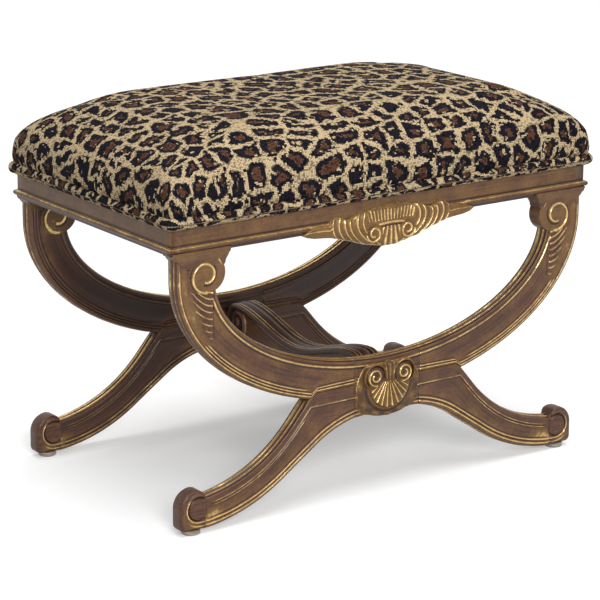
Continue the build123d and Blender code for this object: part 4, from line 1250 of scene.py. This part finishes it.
long_rail = rail(RAIL_HALF[0], RAIL_HALF[1], BEAD_STOP)
short_rail = turned(rail(RAIL_HALF[1], RAIL_HALF[0]))
for name, shape, flip in (("front", long_rail, (1, 1, 1)), ("back", long_rail, (1, -1, 1)),
                          ("left", short_rail, (1, 1, 1)), ("right", short_rail, (-1, 1, 1))):
    make_piece(f"{name}_rail_moulded", shape, walnut, f"{name}_rail", flip)
print("rails made, with faces", 2 * np.round(RAIL_HALF, 1), "mm long")

# %% [markdown]
# ## Stretcher
# The bar between the crossings is a reeded band that dips in the middle and rolls over at each end into a
# volute. The band is bent out of one line, so it is swept along one path, from the eye of one spiral down
# through the dip and up into the other. Sweeping the whole and not a half keeps the middle free of a seam.

# %% Reeded band
BAND_HALF = (stretcher_high[0] - stretcher_low[0]) / 2
BAND_THICK = 5.0
BAND_POINTS = 61
BAND_BEADS = (9.6, 14.8)
DIP = 143.0
VOLUTE_R = 22.5
VOLUTE_Z = stretcher_high[2] - VOLUTE_R
VOLUTE_Y = stretcher_high[1] - 32.0
VOLUTE_SHRINK = 14.0


def band_rise(share):
    """Give the band's height from the dip, at 0, to the top of a volute, at 1."""
    return DIP + (VOLUTE_Z + VOLUTE_R - DIP) * (0.5 - 0.5 * np.cos(pi * share))


def band_path():
    """Give the band's upper line in Y and Z: a spiral, the fall to the dip, the rise and a spiral."""
    y = np.linspace(0, VOLUTE_Y, 70)
    turn = np.radians(np.linspace(90, -400, 120))
    radius = VOLUTE_R - VOLUTE_SHRINK * ease(np.degrees(turn), -90, -400)
    roll = np.stack([VOLUTE_Y + radius * np.cos(turn), VOLUTE_Z + radius * np.sin(turn)], axis=1)
    half = np.vstack([np.stack([y, band_rise(y / VOLUTE_Y)], axis=1), roll[1:]])
    return np.vstack([(half * [-1, 1])[:0:-1], half])


def reeded_band():
    """Sweep the reeded section along the path."""
    path = band_path()
    tangent = np.gradient(path, axis=0)
    tangent /= np.linalg.norm(tangent, axis=1)[:, None]
    normal = np.stack([-tangent[:, 1], tangent[:, 0]], axis=1)
    x = np.linspace(-BAND_HALF, BAND_HALF, BAND_POINTS)
    away = np.abs(x)
    beads = np.maximum(bump(away, BAND_BEADS[0], 2.6), bump(away, BAND_BEADS[1], 2.2))
    bright = np.maximum(bump(away, BAND_BEADS[0], 1.7), bump(away, BAND_BEADS[1], 1.5))
    grooves = bump(away, 6.6, 1.4) + bump(away, 12.3, 1.2)
    height = 1.8 * bump(x, 0, 6.5) + 1.4 * beads - 0.6 * grooves
    height = height - 1.6 * ease(away, BAND_HALF - 1.5, BAND_HALF)
    gilt = -0.3 + 0.4 * bump(x, 0, 3) + 1.15 * bright - 0.8 * np.clip(grooves, 0, 1)
    level = 0 * path[:, :1]
    across = np.concatenate([x, x[::-1]]) + level
    section = np.concatenate([height, np.full(BAND_POINTS, -BAND_THICK)]) + level
    points = np.stack([across, path[:, :1] + normal[:, :1] * section,
                       path[:, 1:] + normal[:, 1:] * section], axis=-1)
    grain = np.stack([travelled(path)[:, None] + 0 * across, across, section], axis=-1)
    gilt = np.tile(np.concatenate([gilt, np.full(BAND_POINTS, -0.5)]), len(path))
    return part(points.reshape(-1, 3), tube_faces(*across.shape), gilt, grain.reshape(-1, 3))


band = reeded_band()
print("band swept over", travelled(band_path())[-1].round(), "mm")

# %% [markdown]
# Under the band a plain web reaches down and out to the hubs, where it is dowelled, and each volute has a
# round eye that closes it from side to side. The web is a lofted board and the eye a drum, both turned to
# run from front to back.

# %% Web, eyes and the whole stretcher
WEB_INSET = 4.0
EYE_INSET = 3.0
NECK_Z = VOLUTE_Z - 13.0
EYE = (VOLUTE_Y, VOLUTE_Z)


def web_relief(x, z, from_top, from_low, outside):
    """A plain web with one line near its lower edge."""
    line = bump(from_low, 5.0, 1.4)
    return 0.8 * line, 0.4 * line - 0.15


def eye_relief(x, z):
    """A round eye in the middle of the volute."""
    radius = np.hypot(x - EYE[0], z - EYE[1])
    return 2.4 * bump(radius, 0, 7.5), 0.5 * bump(radius, 4.5, 2.5) - 0.5


web_ys = np.linspace(-stretcher_high[1], stretcher_high[1], 139)
under_band = band_rise(np.minimum(np.abs(web_ys) / VOLUTE_Y, 1)) - BAND_THICK
web_top = np.where(np.abs(web_ys) < VOLUTE_Y - 8, under_band, NECK_Z)
web = turned(moulded_board(
    np.stack([web_ys, web_top], axis=1), np.stack([web_ys, stretcher_low[2] + 0 * web_ys], axis=1),
    WEB_INSET - BAND_HALF, 2 * (BAND_HALF - WEB_INSET), web_relief, reeds, 0.0, 1.0))
eye = turned(carved_drum(
    EYE, arc(EYE, VOLUTE_R - 2, 0, 355, 60), EYE_INSET - BAND_HALF, BAND_HALF - EYE_INSET, eye_relief,
    rim=1.5, rings=20, spokes=72, two_faced=True))
other_eye = part(eye["points"] * [1, -1, 1], eye["faces"], eye["gilt"], eye["grain"])
make_piece("stretcher_carved", joined([band, eye, other_eye, web]), walnut, "stretcher")
print("stretcher made, with a neck at", NECK_Z.round(1), "mm")

# %% [markdown]
# ## Seat
# The seat is tight upholstery: foam under cloth, pulled down all round to a welt. Its form is a stack of
# rounded rectangles from the hem over the belly to the crown, whose corners grow rounder as they rise. The
# same form, a little smaller, serves for the foam.

# %% Seat form
cover_low, cover_high = box_mm("seat_cover")
FULLER = 3.3
SEAT_HALF = np.array([cover_high[0], cover_high[1]]) + FULLER
HEM = cover_low[2] - 5.0
CROWN = cover_high[2] + 0.5
HEM_INSET = 3.0
BELLY_RISE = 11.0
CORNER = 6.0
FULLNESS = 6.5
BEND_POWER = 2.2
CORNER_GROWTH = 3.0


def rounded_ring(half, corner, count=240):
    """Give points round a rectangle with rounded corners."""
    corner = min(corner, 0.98 * half[1])
    points = []
    for x, y, start in ((1, 1, 0), (-1, 1, 90), (-1, -1, 180), (1, -1, 270)):
        points.append(arc((x * (half[0] - corner), y * (half[1] - corner)), corner, start, start + 90, 12))
    ring = np.concatenate(points)
    return along(np.vstack([ring, ring[:1]]), count + 1)[:-1]


def seat_rows(inset, lowered):
    """Give the seat's level rings from hem to crown, drawn in and lowered for the cloth to fill."""
    half = SEAT_HALF - inset
    rows = [(HEM, rounded_ring(half - HEM_INSET, CORNER))]
    for step in np.sin(np.radians(np.linspace(0, 86, 16))):
        share = (1 - step ** BEND_POWER) ** (1 / FULLNESS)
        corner = CORNER + (0.8 * half[1] * share - CORNER) * step ** CORNER_GROWTH
        z = HEM + BELLY_RISE + (CROWN - lowered - HEM - BELLY_RISE) * step
        rows.append((z, rounded_ring(half * share, corner)))
    return rows


def seat_mesh(name, material, inset, lowered, foot=HEM):
    """Make the seat's closed form as an object, cut flat at its foot."""
    rows = [(max(z, foot), ring) for z, ring in seat_rows(inset, lowered)]
    points = np.concatenate([np.column_stack([ring, np.full(len(ring), z)]) for z, ring in rows])
    faces = tube_faces(len(rows), len(rows[0][1]))
    # The cap on the foot looks down.
    faces[-2].reverse()
    return new_object(name, points, faces, material)


print("seat", 2 * SEAT_HALF.round(1), "mm, from", HEM.round(1), "to", CROWN.round(1))

# %% [markdown]
# Modifiers remesh, smooth and thicken the cloths. Each is baked at once, because the next step works on the
# points that it leaves. The seat's form is remeshed to even quads first, since cloth made of long thin
# faces folds along them.

# %% Remeshed seat
VOXEL = 6.0
START_INSET = 1.5
START_LOWERED = 3.0


def modify(piece, kind, **settings):
    """Add a modifier with its settings."""
    made = piece.modifiers.new(kind.lower(), kind)
    for setting, value in settings.items():
        setattr(made, setting, value)
    return made


def apply_modifiers(piece):
    """Bake an object's modifiers into its mesh."""
    bpy.context.view_layer.update()
    ready = bpy.data.meshes.new_from_object(piece.evaluated_get(bpy.context.evaluated_depsgraph_get()))
    piece.modifiers.clear()
    piece.data = ready


def mesh_points(mesh):
    """Give a mesh's points as an array."""
    points = np.empty(3 * len(mesh.vertices))
    mesh.vertices.foreach_get("co", points)
    return points.reshape(-1, 3)


seat = seat_mesh("seat_cover_cloth", tapestry, START_INSET, START_LOWERED)
modify(seat, "REMESH", mode="VOXEL", voxel_size=VOXEL * MM)
apply_modifiers(seat)
print("remeshed seat has", len(mesh_points(seat.data)), "points")

# %% [markdown]
# A drawn form lacks the tension of cloth that is pulled tight over foam. So a cloth simulation blows the
# form up against its pinned hem. How far a point may travel is capped, so that the result depends little on
# the solver.

# %% Blow the seat up against its hem
PINNED_BELOW = HEM + 4.0
PRESSURE = 4.0
CLOTH_FRAMES = 20
SWELL_CAP = 5.0
DRAW_CAP = 1.0


def inflate(piece):
    """Simulate cloth under pressure, with the hem pinned and each point's travel capped."""
    pinned = piece.vertex_groups.new(name="hem")
    start = mesh_points(piece.data)
    normals = np.array([vertex.normal[:] for vertex in piece.data.vertices])
    pinned.add([i for i, z in enumerate(start[:, 2]) if z < PINNED_BELOW * MM], 1.0, "REPLACE")
    cloth = modify(piece, "CLOTH")
    settings = cloth.settings
    settings.use_pressure = True
    settings.uniform_pressure_force = PRESSURE
    settings.tension_stiffness = 30
    settings.compression_stiffness = 30
    settings.shear_stiffness = 12
    settings.bending_stiffness = 2
    settings.vertex_group_mass = "hem"
    settings.effector_weights.gravity = 0
    cloth.collision_settings.use_collision = False
    scene = bpy.context.scene
    for number in range(1, CLOTH_FRAMES + 1):
        scene.frame_set(number)
    apply_modifiers(piece)
    scene.frame_set(1)
    moved = mesh_points(piece.data) - start
    length = np.linalg.norm(moved, axis=1)
    kept = moved * np.minimum(1, SWELL_CAP * MM / np.maximum(length, 1e-9))[:, None]
    out = (kept * normals).sum(axis=1)
    kept -= normals * np.minimum(0, out + DRAW_CAP * MM)[:, None]
    piece.data.vertices.foreach_set("co", (start + kept).ravel())
    piece.vertex_groups.clear()
    print("cloth moved up to", round(length.max() / MM, 1), "mm, kept to", SWELL_CAP)


inflate(seat)
modify(seat, "SMOOTH", factor=0.5, iterations=2)
modify(seat, "SUBSURF", levels=1)
apply_modifiers(seat)
print("seat has", len(seat.data.vertices), "points")

# %% [markdown]
# The blown form is brought to the cover's real size, and its bottom is cut open, because the cover is a
# cloth and the foam under it is a piece of its own. A solidify modifier then gives it the thickness of
# upholstery cloth.

# %% Size and open bottom of the cover
CLOTH_THICK = 1.8
OPEN_BELOW = HEM + 2.5


def thicken(piece, thickness):
    """Give a cloth its thickness, inwards."""
    modify(piece, "SOLIDIFY", thickness=thickness * MM, offset=-1)
    apply_modifiers(piece)


def fit_and_open(piece):
    """Bring the cloth to the cover's real size, cut its bottom open and give it thickness."""
    points = mesh_points(piece.data) / MM
    reach = np.abs(points).max(axis=0)
    points[:, :2] *= SEAT_HALF / reach[:2]
    points[:, 2] = HEM + (points[:, 2] - HEM) * (CROWN - HEM) / (reach[2] - HEM)
    piece.data.vertices.foreach_set("co", (points * MM).ravel())
    work = bmesh.new()
    work.from_mesh(piece.data)
    below = [face for face in work.faces if all(corner.co.z < OPEN_BELOW * MM for corner in face.verts)]
    bmesh.ops.delete(work, geom=below, context="FACES")
    work.to_mesh(piece.data)
    work.free()
    thicken(piece, CLOTH_THICK)
    print("seat reached", reach.round(1), "mm and was fitted to", SEAT_HALF.round(1), CROWN.round(1))


fit_and_open(seat)

# %% [markdown]
# Where the cloth is pulled down to the hem it puckers. The puckers come last, since the remesh would have
# wiped them out, and are two waves that fade as they rise. Each point also keeps where it would lie on the
# flat cloth, so that the pattern runs over the crown and down the sides without a break.

# %% Puckers and pattern of the cover
PUCKER = 0.9
PUCKER_LENGTH = 17.0
PUCKER_RISE = 16.0
SIDE_POWER = 7


def outward(points):
    """Give the level direction in which the cloth runs down at each point."""
    push = np.sign(points[:, :2]) * (np.abs(points[:, :2]) / SEAT_HALF) ** SIDE_POWER
    return push / np.maximum(np.linalg.norm(push, axis=1), 1e-6)[:, None]


def lay_cloth(mesh, cloth):
    """Store where each point lies on the flat cloth, in mm."""
    mesh.attributes.new("cloth", "FLOAT_VECTOR", "POINT").data.foreach_set("vector", cloth.ravel())


def finish_cloth(piece):
    """Pucker the hem, lay out the cloth and shade it smooth."""
    points = mesh_points(piece.data) / MM
    aside = outward(points)
    run = np.where(np.abs(aside[:, 0]) > np.abs(aside[:, 1]), points[:, 1], points[:, 0])
    wave = np.sin(2 * pi * run / PUCKER_LENGTH) + 0.6 * np.sin(2 * pi * run / (0.61 * PUCKER_LENGTH) + 1.3)
    fade = fall(points[:, 2], HEM + 2, HEM + PUCKER_RISE) * ease(points[:, 2], HEM, HEM + 2)
    points[:, :2] += aside * (PUCKER * wave * fade)[:, None]
    piece.data.vertices.foreach_set("co", (points * MM).ravel())
    drop = CROWN - points[:, 2]
    lay_cloth(piece.data, np.column_stack([points[:, :2] + aside * drop[:, None], 0 * drop]))
    piece.data.polygons.foreach_set("use_smooth", [True] * len(piece.data.polygons))


finish_cloth(seat)
stands_for(seat, "seat_cover")
print("cover made, in", [material.name for material in seat.data.materials])

# %% [markdown]
# ## Welt
# The welt is a thick cord covered in the same cloth. It is a tube round the seat's foot with small squeezes
# where the cloth gathers over the cord, and its own cloth coordinates wrap round it. A curve with a bevel
# would give the tube, but neither the squeezes nor the coordinates.

# %% Welt
welt_low, welt_high = box_mm("seat_welt")
WELT_R = (welt_high[2] - welt_low[2]) / 2
WELT_HALF = np.array([welt_high[0], welt_high[1]]) - WELT_R + 0.85 * FULLER
WELT_Z = (welt_low[2] + welt_high[2]) / 2
WELT_CORNER = 4.0
WELT_POINTS = 900
WELT_SIDES = 28
GATHER = 11.0
GATHER_DRIFT = 31.0
SQUEEZE = 0.035
# Another place on the cloth than the cover's, and a smaller pattern, as the cord shows it.
WELT_CUT = 500.0
WELT_PATTERN = 1.5


def welt():
    """Sweep the covered cord round the seat."""
    path = rounded_ring(WELT_HALF, WELT_CORNER, WELT_POINTS)
    tangent = np.roll(path, -1, axis=0) - np.roll(path, 1, axis=0)
    tangent /= np.linalg.norm(tangent, axis=1)[:, None]
    aside = np.stack([tangent[:, 1], -tangent[:, 0]], axis=1)
    run = travelled(path)[:, None]
    turn = np.linspace(0, 2 * pi, WELT_SIDES, endpoint=False)
    gathers = 0.5 + 0.5 * np.sin(2 * pi * run / GATHER + 1.5 * np.sin(run / GATHER_DRIFT))
    radius = WELT_R * (1 - SQUEEZE * gathers) * np.ones_like(turn)
    points = np.stack([path[:, :1] + aside[:, :1] * radius * np.cos(turn),
                       path[:, 1:] + aside[:, 1:] * radius * np.cos(turn),
                       WELT_Z + radius * np.sin(turn)], axis=-1)
    faces = grid_faces(WELT_POINTS + 1, WELT_SIDES, True)
    faces = [[i % (WELT_POINTS * WELT_SIDES) for i in reversed(face)] for face in faces]
    piece = new_object("seat_welt_cord", points.reshape(-1, 3), faces, tapestry)
    round_way = WELT_CUT + WELT_R * turn + 0 * run
    lay_cloth(piece.data, np.stack([run + 0 * turn, round_way, 0 * radius], axis=-1) * WELT_PATTERN)
    return piece


welt_cord = welt()
stands_for(welt_cord, "seat_welt")
print("welt made,", round(2 * WELT_R, 1), "mm thick")

# %% [markdown]
# ## Foam and inner cloths
# Under the cover lies a foam block, on burlap, and under the seat frame a black dust cloth is tacked up.
# They are seen only when the stool is turned over, but the dust cloth then fills the whole opening: it is
# stretched flat at its edges and sags a little in the middle. Both cloths are drawn, not simulated, because
# a stretched cloth hardly moves.

# %% Foam and inner cloths
FOAM_INSET = 7.0
PANEL_POINTS = (121, 71)
PANEL_THICK = 0.4
PANEL_DROP = 0.2
TACK_WAVE = 0.25
TACK_BAND = 9.0
SCREW_HEAD = 4.0
SCREW_CUT = 6.0
foam_low, foam_high = box_mm("foam_pad")
screws_high = box_mm("seat_screws")[1]
SCREW_X = screws_high[0] - SCREW_HEAD
SCREW_Y = screws_high[1] - SCREW_HEAD


def cloth_panel(name, node, slot, sag):
    """Stretch a thin cloth over a node's rectangle, with a sag in its middle and cuts round the screws."""
    low, high = box_mm(node)
    xs, ys = (np.linspace(low[i], high[i], PANEL_POINTS[i]) for i in (0, 1))
    x, y = np.meshgrid(xs, ys, indexing="ij")
    hang = sag * (1 - (x / high[0]) ** 2) * (1 - (y / high[1]) ** 2)
    tacked = bump(np.abs(y), high[1] - TACK_BAND, TACK_BAND) * min(sag, 1.0)
    hang = hang + TACK_WAVE * np.sin(x / 4.1) * tacked
    points = np.stack([x, y, high[2] - PANEL_DROP - hang], axis=-1).reshape(-1, 3)
    faces = grid_faces(*PANEL_POINTS, False)
    middles = points[np.array(faces)].mean(axis=1)
    clear = np.hypot(np.abs(middles[:, 0]) - SCREW_X, np.abs(middles[:, 1]) - SCREW_Y) > SCREW_CUT
    faces = [face for face, keep in zip(faces, clear) if keep]
    piece = new_object(name, points, faces, inner_materials[slot])
    thicken(piece, PANEL_THICK)
    stands_for(piece, node)


foam = seat_mesh("foam_pad_block", inner_materials["foam"], FOAM_INSET, FOAM_INSET, foam_low[2])
stands_for(foam, "foam_pad")
cloth_panel("dust_cloth", "dust_cover", "dust_cloth", 3.0)
cloth_panel("burlap_cloth", "burlap_sheet", "burlap", 0.0)
print("foam from", foam_low.round(1), "to", foam_high.round(1))

# %% [markdown]
# ## Stage
# The camera stands where the photograph was taken from: its place and lens were solved from the rail lines
# and the feet. It is far away with a long lens, so the lines hardly converge.

# %% Camera
AZIMUTH = -35.26
ELEVATION = 15.73
ROLL = 0.28
LENS = 150.12
DISTANCE = 3209.13
SHIFT = (-3.23, 26.4)
AIM_HEIGHT = 175.0


def photo_camera():
    """Place the camera at the photograph's angle."""
    a, e, r = radians(AZIMUTH), radians(ELEVATION), radians(ROLL)
    back = Vector((sin(a) * cos(e), -cos(a) * cos(e), sin(e)))
    right = (-back).cross(Vector((0, 0, 1))).normalized()
    up = right.cross(-back)
    level, tall = cos(r) * right + sin(r) * up, -sin(r) * right + cos(r) * up
    place = back * DISTANCE + level * SHIFT[0] + tall * SHIFT[1] + Vector((0, 0, AIM_HEIGHT))
    data = bpy.data.cameras.new("photo_camera")
    data.lens = LENS
    data.sensor_width = 36.0
    data.clip_end = 50
    camera = bpy.data.objects.new("photo_camera", data)
    turn = Matrix((level, tall, back)).transposed().to_4x4()
    camera.matrix_world = Matrix.Translation(place * MM) @ turn
    bpy.context.scene.collection.objects.link(camera)
    bpy.context.scene.camera = camera


photo_camera()
print("camera stands", DISTANCE, "mm away with a lens of", LENS, "mm")

# %% [markdown]
# The stool stands on white paper with a pale shadow. The paper glows a little where it is seen, so that its
# shadow stays a light grey, and is darker to the rays that light the stool, so that it doesn't brighten it
# from below.

# %% Paper floor
FLOOR_HALF = 8000.0
FLOOR_GLOW = 0.32
FLOOR_TONE = (0.4, 0.8)
WHITE = (1, 1, 1, 1)


def seen_rays(tree):
    """Give 1 for rays that show the studio: to the camera, in a reflection or through glass."""
    path = add(tree, "ShaderNodeLightPath").outputs
    mirrored = add(tree, "ShaderNodeMath", LARGER, {0: path["Is Glossy Ray"], 1: path["Is Transmission Ray"]})
    return add(tree, "ShaderNodeMath", LARGER, {0: path["Is Camera Ray"], 1: mirrored})


def paper_floor():
    """A large pale floor: seen by the camera it glows a little, so its shadow stays a light grey."""
    material, tree, shader = start_material("white_paper")
    seen = seen_rays(tree)
    glow = add(tree, "ShaderNodeMath", TIMES, {0: seen, 1: FLOOR_GLOW})
    tone = add(tree, "ShaderNodeMapRange", None, {
        "Value": seen, "To Min": FLOOR_TONE[0], "To Max": FLOOR_TONE[1]})
    feed(tree, shader, {
        "Emission Strength": glow, "Emission Color": WHITE, "Base Color": tone,
        "Roughness": 1.0, "Specular IOR Level": 0.0})
    corners = FLOOR_HALF * np.array([(-1, -1, 0), (1, -1, 0), (1, 1, 0), (-1, 1, 0)])
    new_object("floor", corners, [(0, 1, 2, 3)], material)


paper_floor()
print("floor", 2 * FLOOR_HALF * MM, "m wide")

# %% [markdown]
# The photograph has the soft light of a catalogue, from the front and from above. One wide patch of sky
# gives the soft shadow, a soft box at the front lights the carving, and a weak one above the crown. The
# world is white where it is seen, and otherwise a low even light.

# %% Lamps, world and view
def lamp(name, kind, place, aim, **settings):
    """Hang a lamp with its settings, turned to its aim."""
    data = bpy.data.lights.new(name, kind)
    for setting, value in settings.items():
        setattr(data, setting, value)
    hung = bpy.data.objects.new(name, data)
    hung.location = place
    hung.rotation_euler = (Vector(aim) - Vector(place)).to_track_quat("-Z", "Y").to_euler()
    bpy.context.scene.collection.objects.link(hung)


def white_world(strength):
    """Even light from all round, and pure white where the camera sees past the floor."""
    world = bpy.data.worlds.new("studio")
    world.use_nodes = True
    tree = world.node_tree
    tree.nodes.clear()
    level = add(tree, "ShaderNodeMapRange", None, {
        "Value": seen_rays(tree), "To Min": strength, "To Max": 1.0})
    sky = add(tree, "ShaderNodeBackground", None, {"Color": WHITE, "Strength": level})
    add(tree, "ShaderNodeOutputWorld", None, {"Surface": sky})
    bpy.context.scene.world = world


white_world(0.25)
lamp("sky", "SUN", (-0.1, -0.25, 2.2), (0, 0, 0), energy=1.78, angle=radians(48))
lamp("key", "AREA", (-1.2, -2.8, 1.5), (0, 0, 0.25), shape="SQUARE", size=1.1, energy=68)
lamp("top", "AREA", (0.6, 0.2, 2.6), (0, 0, 0.3), shape="SQUARE", size=1.4, energy=10)
bpy.context.scene.view_settings.view_transform = "Standard"
print("stage lit by", len(bpy.data.lights), "lamps")
